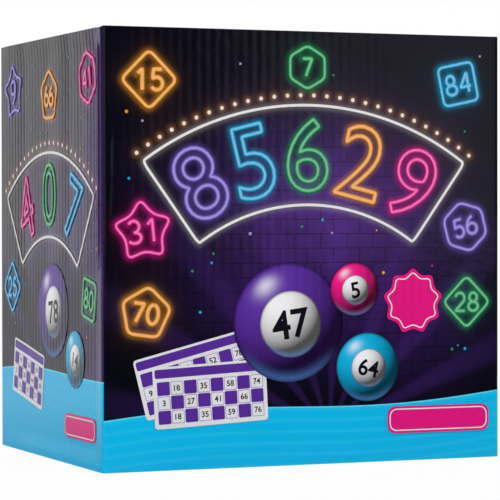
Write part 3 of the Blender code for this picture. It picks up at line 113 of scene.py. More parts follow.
# Corrugated board and print
FLUTE_PITCH = 0.00615
FLUTE_RELIEF = 0.000060
LINER = 0.00035
MEDIUM = 0.00022
MEDIUM_SWING = (BOARD - 2 * LINER - MEDIUM) / 2
PRINT_LIFT = 0.00016
PRINT_STEP = 0.00003
GRID_ACROSS, GRID_UP = 0.00103, 0.00125
LINE_SPAN = 0.0016
SHAPE_SPAN = 0.007

# The side walls fall back from their stiff upright folds: steeply at the front, gently at the rear
FLARE_DEPTH = 0.00095
FLARE_FRONT, FLARE_REAR = 0.086, 0.018
FLARE_BEND = 0.0014
FLARE_START = 0.0008

BAKE_MAP = "OFBake"
UP: Place = (0.0, 0.0, 1.0)


# Flat lines
def moved(points: Iterable[Point], s: float, t: float, turn: float = 0.0, size: float = 1.0) -> list[Point]:
    """Flat points, scaled and turned about the origin by degrees, then shifted."""
    c, d = size * math.cos(math.radians(turn)), size * math.sin(math.radians(turn))
    return [(x * c - y * d + s, x * d + y * c + t) for x, y in points]


def bow(cx: float, cy: float, rx: float, ry: float, start: float, end: float, steps: int) -> list[Point]:
    """Points of an arc about a centre, with its radii across and up, between angles in degrees."""
    angles = [math.radians(start + (end - start) * i / steps) for i in range(steps + 1)]
    return [(cx + rx * math.cos(a), cy + ry * math.sin(a)) for a in angles]


def softened(points: Sequence[Point], radius: float, closed: bool, steps: int = 4) -> list[Point]:
    """Rounds the corners of a line.

    Args:
        points: Corners of the line.
        radius: Distance from a corner at which its curve starts.
        closed: Whether the last corner joins the first.
        steps: Spans of each round corner.

    Returns:
        The line with a short curve at each corner.
    """
    made: list[Point] = []
    count = len(points)
    for i, here in enumerate(points):
        if not closed and i in (0, count - 1):
            made.append(here)
            continue
        corner = Vector(here)
        before, after = Vector(points[i - 1]) - corner, Vector(points[(i + 1) % count]) - corner
        start = corner + before.normalized() * min(radius, before.length / 2)
        end = corner + after.normalized() * min(radius, after.length / 2)
        for w in (k / steps for k in range(steps + 1)):
            bend = start * (1 - w) ** 2 + corner * 2 * w * (1 - w) + end * w * w
            made.append((bend.x, bend.y))
    return made


def resampled(points: Sequence[Point], closed: bool, spacing: float = LINE_SPAN) -> list[Point]:
    """Adds points to a line's long spans.

    Args:
        points: Points of the line.
        closed: Whether the last point joins the first.
        spacing: Longest span that is kept.

    Returns:
        The line with no span longer than the spacing.
    """
    made: list[Point] = []
    ends = list(points[1:]) + ([points[0]] if closed else [])
    for (x0, y0), (x1, y1) in zip(points, ends):
        parts = max(1, math.ceil(math.hypot(x1 - x0, y1 - y0) / spacing))
        made += [(x0 + (x1 - x0) * k / parts, y0 + (y1 - y0) * k / parts) for k in range(parts)]
    return made if closed else made + [points[-1]]


def polygon(corners: int, radius: float, inner: float = 1.0, turn: float = 90.0) -> list[Point]:
    """Corners of a regular polygon or star about the origin.

    Args:
        corners: Number of outer corners.
        radius: Radius of the outer corners.
        inner: Share of the radius at which a star's inner corners lie, or 1 for a polygon.
        turn: Angle of the first corner in degrees.

    Returns:
        The corners, anticlockwise.
    """
    count = corners * 2 if inner < 1 else corners
    made = []
    for i in range(count):
        reach = radius * (inner if inner < 1 and i % 2 else 1)
        angle = math.radians(turn + 360 * i / count)
        made.append((reach * math.cos(angle), reach * math.sin(angle)))
    return made


def round_box(width: float, height: float, radius: float, steps: int = 5) -> list[Point]:
    """Outline of a rectangle with round corners about the origin, anticlockwise.

    Args:
        width: Size across.
        height: Size upwards.
        radius: Corner radius.
        steps: Spans of each corner.

    Returns:
        The outline's points.
    """
    made: list[Point] = []
    for quarter, (sx, sy) in enumerate(((1, 1), (-1, 1), (-1, -1), (1, -1))):
        cx, cy = sx * (width / 2 - radius), sy * (height / 2 - radius)
        made += bow(cx, cy, radius, radius, 90 * quarter, 90 * quarter + 90, steps)
    return made


def side_fall(y: float, inset: float = 0.0) -> float:
    """Depth to which a side wall has fallen back between its upright folds.

    Args:
        y: Place along the wall, from the middle to the rear.
        inset: Depth of the layer under the paper.

    Returns:
        The depth.
    """
    falls = []
    for way, slope in ((1.0, FLARE_FRONT), (-1.0, FLARE_REAR)):
        gone = max(DEPTH / 2 - inset + way * y - FOLD_RADIUS + FLARE_START, 0.0)
        reach = FLARE_DEPTH / slope
        late = min(1.0, max(0.0, (gone - reach) / FLARE_BEND + 0.5))
        falls.append(slope * (min(gone, reach - FLARE_BEND / 2) + FLARE_BEND * late * (1.0 - late / 2.0)))
    return min(falls)


# Shapes and meshes
def as_mesh(shape: Shape) -> Mesh:
    """Turns a shape into a mesh.

    Args:
        shape: The shape, which is freed.

    Returns:
        The mesh.
    """
    mesh = bpy.data.meshes.new("shape")
    shape.to_mesh(mesh)
    shape.free()
    return mesh


def as_shape(mesh: Mesh) -> Shape:
    """Turns a mesh into a shape.

    Args:
        mesh: The mesh, which is removed.

    Returns:
        The shape.
    """
    shape = bmesh.new()
    shape.from_mesh(mesh)
    bpy.data.meshes.remove(mesh)
    return shape


def placed(shape: Shape, place: Matrix) -> Shape:
    """Moves a shape by a matrix."""
    bmesh.ops.transform(shape, matrix=place, verts=shape.verts)
    return shape


def at(x: float, y: float, z: float) -> Matrix:
    """Matrix that shifts."""
    return Matrix.Translation((x, y, z))


def about(middle: float, half: float) -> Point:
    """Two ends at equal distances from a middle."""
    return middle - half, middle + half


def linked(piece: Piece) -> Piece:
    """Puts an object in the scene."""
    bpy.context.scene.collection.objects.link(piece)
    return piece


def new_piece(
    name: str, source: Union[Mesh, Shape], finishes: Sequence["Finish"], nodes: Sequence[str],
    body: Optional[str] = "carton", smooth: float = 40.0,
) -> Piece:
    """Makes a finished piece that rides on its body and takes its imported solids' place.

    Args:
        name: Name of the piece.
        source: Its mesh or shape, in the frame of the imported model.
        finishes: One finish for each material slot.
        nodes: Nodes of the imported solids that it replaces.
        body: Body that it rides on, or None where it is blended later.
        smooth: Angle in degrees below which edges are shaded smooth.

    Returns:
        The piece's object.
    """
    mesh = as_mesh(source) if isinstance(source, Shape) else source
    mesh.name = name
    mesh.materials.clear()
    for finish in finishes:
        mesh.materials.append(finish.material())
    mesh.shade_smooth()
    mesh.set_sharp_from_angle(angle=math.radians(smooth))
    piece = linked(bpy.data.objects.new(name, mesh))
    if body is not None:
        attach(piece, body)
    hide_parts(*nodes)
    LOG.info("%s: %d faces, on %s", name, len(mesh.polygons), body or "two bodies")
    return piece


def wire_curve(
    points: Sequence[Place], radius: float = 0.0, fineness: int = 0, closed: bool = False, kind: str = "POLY"
) -> bpy.types.Curve:
    """Curve along a line.

    Args:
        points: Points of the line.
        radius: Radius of its round section.
        fineness: Fineness of the section.
        closed: Whether the last point joins the first.
        kind: Kind of its spline.

    Returns:
        The curve's data.
    """
    curve = bpy.data.curves.new("wire", "CURVE")
    curve.dimensions = "3D"
    curve.bevel_depth, curve.bevel_resolution = radius, fineness
    spline = curve.splines.new(kind)
    spline.points.add(len(points) - 1)
    for point, place in zip(spline.points, points):
        point.co = (*place, 1)
    spline.use_cyclic_u = closed
    return curve


def shape_of_curve(curve: bpy.types.Curve) -> Shape:
    """Turns a curve or text into a shape.

    Args:
        curve: The curve's data, which is removed.

    Returns:
        Its shape, in the curve's own space.
    """
    guide = linked(bpy.data.objects.new(curve.name, curve))
    graph = bpy.context.evaluated_depsgraph_get()
    mesh = bpy.data.meshes.new_from_object(guide.evaluated_get(graph))
    bpy.data.objects.remove(guide)
    bpy.data.curves.remove(curve)
    return as_shape(mesh)


def cleaved(shape: Shape, through: Sequence[float], normal: Sequence[float], **clear: bool) -> None:
    """Cuts a shape along a plane, and clears a side where one is named."""
    geom = shape.verts[:] + shape.edges[:] + shape.faces[:]
    bmesh.ops.bisect_plane(shape, geom=geom, plane_co=through, plane_no=normal, **clear)


def grown(shape: Shape, edges: Iterable[bmesh.types.BMEdge]) -> list[bmesh.types.BMVert]:
    """Extrudes edges where they are, and gives the new vertices."""
    made = bmesh.ops.extrude_edge_only(shape, edges=list(edges))["geom"]
    return [part for part in made if isinstance(part, bmesh.types.BMVert)]


def eased(shape: Shape, edges: Sequence[bmesh.types.BMEdge], width: float) -> Shape:
    """Rounds edges of a shape with a small bevel."""
    bmesh.ops.bevel(shape, geom=edges, offset=width, affect="EDGES", segments=2, profile=0.5, material=-1)
    return shape


def box_shape(x: Point, y: Point, z: Point, bevel: float = 0.0) -> Shape:
    """Box with its edges rounded.

    Args:
        x: Its two ends along X.
        y: Its two ends along Y.
        z: Its two ends along Z.
        bevel: Width of the rounding, or zero.

    Returns:
        The box.
    """
    low, high = Vector((x[0], y[0], z[0])), Vector((x[1], y[1], z[1]))
    shape = bmesh.new()
    bmesh.ops.create_cube(shape, size=1)
    placed(shape, Matrix.Translation((low + high) / 2) @ Matrix.Diagonal((*(high - low), 1)))
    return eased(shape, shape.edges[:], bevel) if bevel else shape


def plate_shape(outline: Sequence[Point], low: float, high: float) -> Shape:
    """Plate with a flat outline in X and Y between two heights.

    Args:
        outline: Outline, anticlockwise.
        low: Lower height.
        high: Upper height.

    Returns:
        The plate.
    """
    shape = bmesh.new()
    face = shape.faces.new([shape.verts.new((x, y, low)) for x, y in outline])
    made = bmesh.ops.extrude_face_region(shape, geom=[face])["geom"]
    top = [part for part in made if isinstance(part, bmesh.types.BMVert)]
    bmesh.ops.translate(shape, vec=(0, 0, high - low), verts=top)
    bmesh.ops.recalc_face_normals(shape, faces=shape.faces)
    return shape


def turned_shape(profile: Sequence[Point], steps: int = 96) -> Shape:
    """Turns a profile of radius and height once round the Z axis.

    Args:
        profile: Radius and height of each point.
        steps: Spans round the axis.

    Returns:
        The turned shape.
    """
    shape = bmesh.new()
    verts = [shape.verts.new((radius, 0, height)) for radius, height in profile]
    edges = [shape.edges.new(pair) for pair in zip(verts, verts[1:])]
    bmesh.ops.spin(
        shape, geom=verts + edges, angle=math.tau, steps=steps, axis=UP, cent=(0, 0, 0), use_merge=True
    )
    bmesh.ops.remove_doubles(shape, verts=shape.verts, dist=1e-6)
    bmesh.ops.recalc_face_normals(shape, faces=shape.faces)
    return shape


def joined(*shapes: Shape) -> Shape:
    """Puts several shapes into the first.

    Args:
        shapes: The shapes; all but the first are freed.

    Returns:
        The first shape, which now holds them all.
    """
    for other in shapes[1:]:
        mesh = as_mesh(other)
        shapes[0].from_mesh(mesh)
        bpy.data.meshes.remove(mesh)
    return shapes[0]


def coloured(shape: Shape, index: int) -> Shape:
    """Puts a whole shape in one material slot."""
    for face in shape.faces:
        face.material_index = index
    return shape


def outward(shape: Shape, away: Optional[Sequence[float]] = None) -> Shape:
    """Turns an open sheet's faces outwards.

    Args:
        shape: The sheet.
        away: Direction that it looks in, or None where it goes round the Z axis.

    Returns:
        The same sheet.
    """
    bmesh.ops.recalc_face_normals(shape, faces=shape.faces)
    total = 0.0
    for face in shape.faces:
        middle = face.calc_center_median()
        total += face.normal.dot(Vector(away) if away else Vector((middle.x, middle.y, 0)))
    if total < 0:
        bmesh.ops.reverse_faces(shape, faces=shape.faces)
    return shape


def rod(radius: float, start: Sequence[float], end: Sequence[float], sides: int = 32) -> Shape:
    """Round rod between two points.

    Args:
        radius: Its radius.
        start: First end.
        end: Second end.
        sides: Flat sides round it.

    Returns:
        The rod.
    """
    first, last = Vector(start), Vector(end)
    run = last - first
    shape = bmesh.new()
    bmesh.ops.create_cone(shape, cap_ends=True, segments=sides, radius1=radius, radius2=radius, depth=run.length)
    turn = run.to_track_quat("Z", "Y").to_matrix().to_4x4()
    return placed(shape, Matrix.Translation((first + last) / 2) @ turn)


def cut_shape(shape: Shape, *steps: Union[Shape, tuple[str, Shape]]) -> Mesh:
    """Cuts closed shapes from a shape, or joins them to it.

    Args:
        shape: The shape to start from.
        steps: Each tool, alone where it cuts, or after UNION where it is joined.

    Returns:
        The finished mesh.
    """
    piece, *tools = [
        linked(bpy.data.objects.new("guide", as_mesh(step if isinstance(step, Shape) else step[1])))
        for step in (shape, *steps)
    ]
    for step, tool in zip(steps, tools):
        change = piece.modifiers.new("cut", "BOOLEAN")
        change.operation = "DIFFERENCE" if isinstance(step, Shape) else step[0]
        change.solver, change.object = "EXACT", tool
        change.use_self = change.operation == "UNION"
    graph = bpy.context.evaluated_depsgraph_get()
    mesh = bpy.data.meshes.new_from_object(piece.evaluated_get(graph))
    for made in (piece, *tools):
        bpy.data.objects.remove(made)
    return mesh


def tube_along(points: Sequence[Place], radius: float) -> Shape:
    """Round wire along a line, with closed ends.

    Args:
        points: Points of its middle.
        radius: Its radius.

    Returns:
        The wire.
    """
    curve = wire_curve(points, radius, 3)
    curve.use_fill_caps = True
    return shape_of_curve(curve)


def coil(radius_low: float, radius_high: float, low: float, high: float, turns: int = 3) -> list[Place]:
    """Points of a coil about Z.

    Args:
        radius_low: Radius at its lower end.
        radius_high: Radius at its upper end.
        low: Height of its lower end.
        high: Height of its upper end.
        turns: Number of turns.

    Returns:
        The coil's points.
    """
    made = []
    for share in (i / (turns * 36) for i in range(turns * 36 + 1)):
        radius, angle = radius_low + (radius_high - radius_low) * share, math.tau * turns * share
        made.append((radius * math.cos(angle), radius * math.sin(angle), low + (high - low) * share))
    return made


def on_ball(radius: float, away: float) -> float:
    """Height of a ball's surface at a distance from its axis."""
    return math.sqrt(radius * radius - away * away)


# Material graphs
class Graph:
    """Node tree of a material or of the world, with short calls for the nodes in use."""

    def __init__(self, name: str, world: bool = False) -> None:
        """Starts an empty tree.

        Args:
            name: Name of the material or world.
            world: Whether it is the world's.
        """
        self.made = (bpy.data.worlds if world else bpy.data.materials).new(name)
        self.made.use_nodes = True
        self.tree = self.made.node_tree
        self.tree.nodes.clear()
        self.places = self.add("TexCoord").outputs
        self.place = self.places["Object"]

    def add(self, kind: str, feeds: Optional[dict] = None, **settings) -> bpy.types.Node:
        """Adds a node.

        Args:
            kind: Node type without its ShaderNode prefix.
            feeds: Value or socket for each input, by name or number.
            settings: The node's own properties.

        Returns:
            The node.
        """
        node = self.tree.nodes.new("ShaderNode" + kind)
        for key, value in settings.items():
            setattr(node, key, value)
        for key, value in (feeds or {}).items():
            socket = node.inputs[key]
            if isinstance(value, Socket):
                self.tree.links.new(value, socket)
            elif socket.type == "RGBA" and len(value) == 3:
                socket.default_value = (*value, 1.0)
            else:
                socket.default_value = value
        return node

    def math(self, operation: str, first: Value, second: Value = 0.0, third: Value = 0.0) -> Socket:
        """Result of a Math node with up to three values."""
        return self.add("Math", {0: first, 1: second, 2: third}, operation=operation).outputs[0]

    def times(self, first: Value, second: Value) -> Socket:
        """Product of two values."""
        return self.math("MULTIPLY", first, second)

    def line(self, value: Value, gain: Value, base: Value) -> Socket:
        """A value times a gain, plus a base."""
        return self.math("MULTIPLY_ADD", value, gain, base)

    def along(self, direction: Place, origin: Place = (0.0, 0.0, 0.0)) -> Socket:
        """Distance of the surface point from an origin, along a direction."""
        dot = self.add("VectorMath", {0: self.place, 1: direction}, operation="DOT_PRODUCT")
        return self.math("SUBTRACT", dot.outputs["Value"], Vector(origin).dot(Vector(direction)))

    def flutes(self, across: Place) -> Socket:
        """Wave of the board's flutes, from -1 to 1."""
        return self.math("COSINE", self.times(self.along(across), math.tau / FLUTE_PITCH))

    def step(self, value: Value, low: float, high: float, start: float = 0.0, end: float = 1.0) -> Socket:
        """Smooth step from start to end as the value goes from low to high."""
        feeds = {0: value, 1: low, 2: high, 3: start, 4: end}
        return self.add("MapRange", feeds, interpolation_type="SMOOTHSTEP").outputs[0]

    def mix(self, share: Value, first: Value, second: Value, blend: str = "MIX") -> Socket:
        """Colour between two colours, or one laid on the other."""
        return self.add("Mix", {0: share, 6: first, 7: second}, data_type="RGBA", blend_type=blend).outputs[2]

    def shaded(self, colour: Value, grey: Socket) -> Socket:
        """Colour times a grey."""
        return self.mix(1.0, colour, self.add("CombineColor", {0: grey, 1: grey, 2: grey}).outputs[0], "MULTIPLY")

    def ramp(self, value: Value, stops: Sequence[tuple[float, Colour]]) -> Socket:
        """Colour read from a row of stops.

        Args:
            value: Place along the row.
            stops: Place and colour of each stop.

        Returns:
            The colour.
        """
        node = self.add("ValToRGB", {0: value})
        elements = node.color_ramp.elements
        while len(elements) < len(stops):
            elements.new(0.5)
        for element, (position, colour) in zip(elements, stops):
            element.position, element.color = position, (*colour, 1.0)
        return node.outputs[0]

    def noise(self, scale: float, detail: float = 2.0, vector: Optional[Socket] = None) -> Socket:
        """Noise from 0 to 1, with its scale in waves a metre."""
        return self.add("TexNoise", {"Vector": vector or self.place, "Scale": scale, "Detail": detail}).outputs[0]

    def stretched(self, scale: Place, turn: Place = (0.0, 0.0, 0.0)) -> Socket:
        """Surface point with each axis scaled."""
        return self.add("Mapping", {"Vector": self.place, "Scale": scale, "Rotation": turn}).outputs[0]

    def attribute(self, name: str, output: str = "Color") -> Socket:
        """Value of one of the mesh's attributes."""
        return self.add("Attribute", attribute_name=name).outputs[output]

    def bump(self, height: Value, distance: float, under: Optional[Socket] = None) -> Socket:
        """Normal that a height of 0 to 1 bends, over a distance in metres."""
        feeds = {"Height": height, "Distance": distance, "Strength": 1.0}
        return self.add("Bump", {**feeds, "Normal": under} if under else feeds).outputs[0]

    def end(self, shader: bpy.types.Node, kind: str = "Material") -> bpy.types.ID:
        """Links the last shader to the output.

        Args:
            shader: The last shader.
            kind: Kind of output.

        Returns:
            The material or world.
        """
        self.tree.links.new(shader.outputs[0], self.add("Output" + kind).inputs[0])
        return self.made

    def finish(self, colour: Value, **sockets: Value) -> bpy.types.Material:
        """Ends the tree in a Principled shader.

        Args:
            colour: Base colour.
            sockets: Other inputs, with underscores for the spaces in their names.

        Returns:
            The material.
        """
        feeds = {key.replace("_", " "): value for key, value in sockets.items()}
        return self.end(self.add("BsdfPrincipled", {"Base Color": colour, **feeds}))


@dataclass(frozen=True)
class Finish:
    """Material that is made once and shared by its pieces, with the name of its slot."""

    name: str
    slot: str

    def material(self) -> bpy.types.Material:
        """The material, made at its first use."""
        return bpy.data.materials.get(self.name) or self.build()

    def build(self) -> bpy.types.Material:
        """Makes the material's node tree."""
        raise NotImplementedError


# Print
def paper_grain(graph: Graph, flutes: Optional[Place] = None) -> Socket:
    """Normal of varnished paper on corrugated board.

    Args:
        graph: The material's graph.
        flutes: Direction across the flutes where they show through, or None.

    Returns:
        The bent normal.
    """
    normal = graph.bump(graph.line(graph.flutes(flutes), 0.5, 0.5), 2 * FLUTE_RELIEF) if flutes else None
    normal = graph.bump(graph.noise(140.0, 3.0), 0.00007, normal)
    return graph.bump(graph.noise(1500.0), 0.000006, normal)


def printed(graph: Graph, colour: Value, flutes: Optional[Place] = None) -> bpy.types.Material:
    """Ends a graph as ink on white paper under a satin varnish.

    Args:
        graph: The material's graph.
        colour: Colour of the ink.
        flutes: Direction across the flutes that the ink lies over, or None.

    Returns:
        The material.
    """
    inked = graph.shaded(colour, graph.line(graph.noise(2200.0, 3.0), 0.16, 0.92))
    rough = graph.line(graph.noise(260.0), 0.035, 0.09)
    return graph.finish(inked, Roughness=rough, IOR=1.47, Normal=paper_grain(graph, flutes))


class Neon(Enum):
    """Inks of the glowing tubes."""

    PINK = (0.80, 0.012, 0.30)
    ORANGE = (0.87, 0.34, 0.014)
    GREEN = (0.008, 0.36, 0.105)
    BLUE = (0.004, 0.39, 0.69)
    VIOLET = (0.20, 0.13, 0.60)
    WHITE = (0.80, 0.78, 0.76)


class Ink(Enum):
    """Inks of the flat printed shapes."""

    WHITE = (0.84, 0.84, 0.84)
    NIGHT = (0.006, 0.005, 0.012)
    PURPLE = (0.105, 0.028, 0.34)
    LILAC = (0.42, 0.33, 0.68)
    HOT_PINK = (0.85, 0.008, 0.235)
    CYAN = (0.003, 0.44, 0.74)
    ORANGE = (0.87, 0.34, 0.014)
    GREEN = (0.008, 0.36, 0.105)


NIGHT_LOW: Colour = (0.0020, 0.0021, 0.0058)
NIGHT_HIGH: Colour = (0.0030, 0.0028, 0.0080)
PURPLE_LIGHT: Colour = (0.085, 0.020, 0.235)
BEAM_LIGHT: Colour = (0.034, 0.010, 0.105)
FLOOR_DEEP: Colour = (0.001, 0.470, 0.80)
FLOOR_BRIGHT: Colour = (0.001, 0.500, 0.85)
FLOOR_EDGE: Colour = (0.10, 0.68, 0.90)


@dataclass(frozen=True)
class Lamp:
    """Soft round light in the printed ground, placed on the face's own plane."""

    s: float
    t: float
    across: float
    up: float
    strength: float


@dataclass(frozen=True)
class Ground(Finish):
    """Printed night ground with tile courses, light beams, soft lights and a bright floor."""

    panel: "Panel"
    beam_s: float
    level: float
    slope: float
    swing: float
    lamps: tuple[Lamp, ...]

    def light(self, graph: Graph, s: Socket, t: Socket) -> Socket:
        """Sum of the soft lights at a place on the face.

        Args:
            graph: The material's graph.
            s: Place across.
            t: Place upwards.

        Returns:
            The brightness.
        """
        total: Value = 0.0
        for lamp in self.lamps:
            a = graph.math("DIVIDE", graph.math("SUBTRACT", s, lamp.s), lamp.across)
            b = graph.math("DIVIDE", graph.math("SUBTRACT", t, lamp.t), lamp.up)
            reach = graph.line(a, a, graph.times(b, b))
            one = graph.times(graph.math("EXPONENT", graph.times(reach, -1.0)), lamp.strength)
            total = graph.math("ADD", total, one)
        return total

    def night(self, graph: Graph, s: Socket, t: Socket) -> Socket:
        """Night sky over the floor, with its lit tiles and beams.

        Args:
            graph: The material's graph.
            s: Place across.
            t: Place upwards.

        Returns:
            The colour.
        """
        flat = graph.add("CombineXYZ", {0: s, 1: t}).outputs[0]
        bricks = {"Vector": flat, "Scale": 1.0, "Mortar Size": 0.0005, "Mortar Smooth": 0.6}
        bricks.update({"Brick Width": 0.018, "Row Height": 0.009})
        joints = graph.add("TexBrick", bricks, offset=0.5).outputs["Fac"]
        tiled = graph.times(self.light(graph, s, t), graph.line(joints, -0.55, 1.0))
        tiled = graph.times(tiled, graph.line(graph.noise(60.0, 3.0, flat), 0.9, 0.55))
        night = graph.mix(graph.step(t, 0.04, 0.26), NIGHT_LOW, NIGHT_HIGH)
        night = graph.mix(tiled, night, PURPLE_LIGHT)
        away_s, away_t = graph.math("SUBTRACT", s, self.beam_s), graph.math("SUBTRACT", t, 0.02)
        fan = graph.math("SINE", graph.line(graph.math("ARCTAN2", away_s, away_t), 17.0, 0.7))
        far = graph.math("SQRT", graph.line(away_s, away_s, graph.times(away_t, away_t)))
        beam = graph.times(graph.step(fan, -0.1, 1.0), graph.step(far, 0.25, 0.05))
        return graph.mix(graph.times(beam, 0.40), night, BEAM_LIGHT, "ADD")

    def build(self) -> bpy.types.Material:
        """Makes the ground's node tree."""
        graph = Graph(self.name)
        s, t = (graph.along(way, self.panel.origin) for way in (self.panel.right, self.panel.up))
        swing = graph.math("SINE", graph.line(s, 21.0, self.slope * 9.0))
        level = graph.math("ADD", graph.line(swing, self.swing, self.level), graph.times(s, self.slope))
        under = graph.math("SUBTRACT", level, t)
        floor = graph.mix(graph.step(under, 0.045, 0.0), FLOOR_DEEP, FLOOR_BRIGHT)
        stripe = graph.step(graph.math("SINE", graph.times(under, 900.0)), 0.2, 1.0)
        floor = graph.mix(graph.times(stripe, 0.10), floor, FLOOR_EDGE)
        floor = graph.mix(graph.step(under, 0.0012, 0.0008), floor, FLOOR_EDGE)
        colour = graph.mix(graph.step(under, 0.0, 0.0003), self.night(graph, s, t), floor)
        return printed(graph, graph.mix(1.0, colour, graph.attribute("glow"), "ADD"))


@dataclass(frozen=True)
class TubeInk(Finish):
    """Printed neon tube: a pale core in a saturated rim, from the mesh's own attributes."""

    flutes: Place

    def build(self) -> bpy.types.Material:
        """Makes the ink's node tree."""
        graph = Graph(self.name)
        tint, across = graph.attribute("tint"), graph.attribute("across", "Fac")
        deep = graph.mix(1.0, tint, (0.62, 0.62, 0.62), "MULTIPLY")
        rim = graph.mix(graph.step(across, 0.10, 0.62), deep, tint)
        core = graph.mix(0.28, tint, (0.95, 0.93, 0.95))
        return printed(graph, graph.mix(graph.step(across, 0.74, 0.97), rim, core), self.flutes)


@dataclass(frozen=True)
class FlatInk(Finish):
    """Flat printed colour, from the mesh's own tint."""

    flutes: Optional[Place] = None

    def build(self) -> bpy.types.Material:
        """Makes the ink's node tree."""
        graph = Graph(self.name)
        tone = graph.times(graph.noise(35.0), 0.16)
        return printed(graph, graph.mix(tone, graph.attribute("tint"), (0.0, 0.0, 0.0)), self.flutes)


@dataclass(frozen=True)
class BallInk(Finish):
    """Printed picture of a glossy ball: shade, highlight and rim light from the disc's own plane."""

    flutes: Place

    def build(self) -> bpy.types.Material:
        """Makes the ink's node tree."""
        graph = Graph(self.name)
        x, y, _ = graph.add("SeparateXYZ", {0: graph.attribute("disc", "Vector")}).outputs
        flat = graph.line(x, x, graph.times(y, y))
        z = graph.math("SQRT", graph.math("MAXIMUM", graph.math("SUBTRACT", 1.0, flat), 0.0))
        lit = graph.line(z, 0.66, graph.line(y, 0.62, graph.times(x, -0.42)))
        lit = graph.math("MAXIMUM", lit, 0.0)
        colour = graph.shaded(graph.attribute("tint"), graph.line(lit, 1.05, 0.10))
        spot = graph.times(graph.math("POWER", lit, 46.0), 0.75)
        colour = graph.mix(spot, colour, (0.95, 0.93, 1.0))
        bounce = graph.times(graph.step(y, -0.35, -1.0), graph.step(flat, 0.55, 1.0))
        colour = graph.mix(graph.times(bounce, 0.45), colour, (0.10, 0.30, 0.75), "ADD")
        edge = graph.times(graph.step(flat, 0.86, 1.0), 0.6)
        return printed(graph, graph.mix(edge, colour, (0.004, 0.002, 0.012)), self.flutes)


# Numerals
def digit_lines(digit: str) -> list[list[Point]]:
    """Strokes of a digit drawn with one line, 0.6 wide and 1 high.

    Args:
        digit: One of 0 to 9.

    Returns:
        Each stroke's points.
    """
    if digit == "9":
        return [[(0.6 - x, 1 - y) for x, y in line] for line in digit_lines("6")]
    lines = {
        "0": [bow(0.3, 0.5, 0.3, 0.5, 90, 450, 30)],
        "1": [[(0.12, 0.78), (0.36, 1.0), (0.36, 0.0)]],
        "2": [bow(0.3, 0.7, 0.28, 0.3, 165, -38, 16) + [(0.02, 0.0), (0.6, 0.0)]],
        "3": [bow(0.28, 0.74, 0.26, 0.26, 150, -90, 14) + bow(0.28, 0.24, 0.31, 0.24, 90, -150, 16)[1:]],
        "4": [[(0.46, 0.0), (0.46, 1.0), (0.0, 0.3), (0.62, 0.3)]],
        "5": [[(0.55, 1.0), (0.12, 1.0), (0.08, 0.56)] + bow(0.28, 0.31, 0.3, 0.31, 122, -150, 18)],
        "6": [bow(0.62, 0.3, 0.62, 0.72, 105, 180, 10) + bow(0.3, 0.3, 0.3, 0.3, 180, 540, 26)[1:]],
        "7": [[(0.0, 1.0), (0.58, 1.0), (0.2, 0.0)]],
        "8": [bow(0.3, 0.75, 0.23, 0.25, -90, 270, 22), bow(0.3, 0.25, 0.29, 0.25, 90, 450, 24)],
    }
    return lines[digit]


def number_lines(number: int) -> list[list[Point]]:
    """Strokes of a number 1 high, centred on the origin."""
    digits = str(number)
    starts = [0.82 * i - (0.82 * len(digits) - 0.22) / 2 for i in range(len(digits))]
    return [moved(line, start, -0.5) for start, digit in zip(starts, digits) for line in digit_lines(digit)]


def type_curve(body: str, offset: float) -> bpy.types.Curve:
    """Curve of a number in the plain built-in type.

    Args:
        body: The number's digits.
        offset: Growth of the strokes, as a share of the type size.

    Returns:
        The text curve.
    """
    curve = bpy.data.curves.new("numeral", "FONT")
    curve.body, curve.offset, curve.resolution_u = body, offset, 5
    return curve


def fitted(places: Sequence[Point]) -> tuple[float, np.ndarray]:
    """Scale that makes a numeral 1 high, and its middle before that."""
    low, high = np.min(places, axis=0), np.max(places, axis=0)
    return 1 / (high[1] - low[1]), (low + high) / 2


@lru_cache(maxsize=None)
def numeral_shape(body: str) -> Mesh:
    """Filled numeral 1 high, centred on the origin and facing up.

    Args:
        body: The number's digits.

    Returns:
        Its mesh.
    """
    mesh = as_mesh(shape_of_curve(type_curve(body, 0.02)))
    size, middle = fitted([v.co[:2] for v in mesh.vertices])
    mesh.transform(Matrix.Scale(size, 4) @ at(-middle[0], -middle[1], 0))
    return mesh


@lru_cache(maxsize=None)
def numeral_loops(body: str) -> list[list[Point]]:
    """Outlines of a bold numeral 1 high, centred on the origin.

    Args:
        body: The number's digits.

    Returns:
        The closed outlines.
    """
    curve = type_curve(body, 0.045)
    curve.fill_mode = "NONE"
    shape = shape_of_curve(curve)
    left = set(shape.verts)
    loops = []
    while left:
        here = min(left, key=lambda v: v.index)
        loop = []
        while here in left:
            left.remove(here)
            loop.append((here.co.x, here.co.y))
            here = next((e.other_vert(here) for e in here.link_edges if e.other_vert(here) in left), None)
        loops.append(loop)
    shape.free()
    size, middle = fitted([p for loop in loops for p in loop])
    return [[((x - middle[0]) * size, (y - middle[1]) * size) for x, y in loop] for loop in loops]


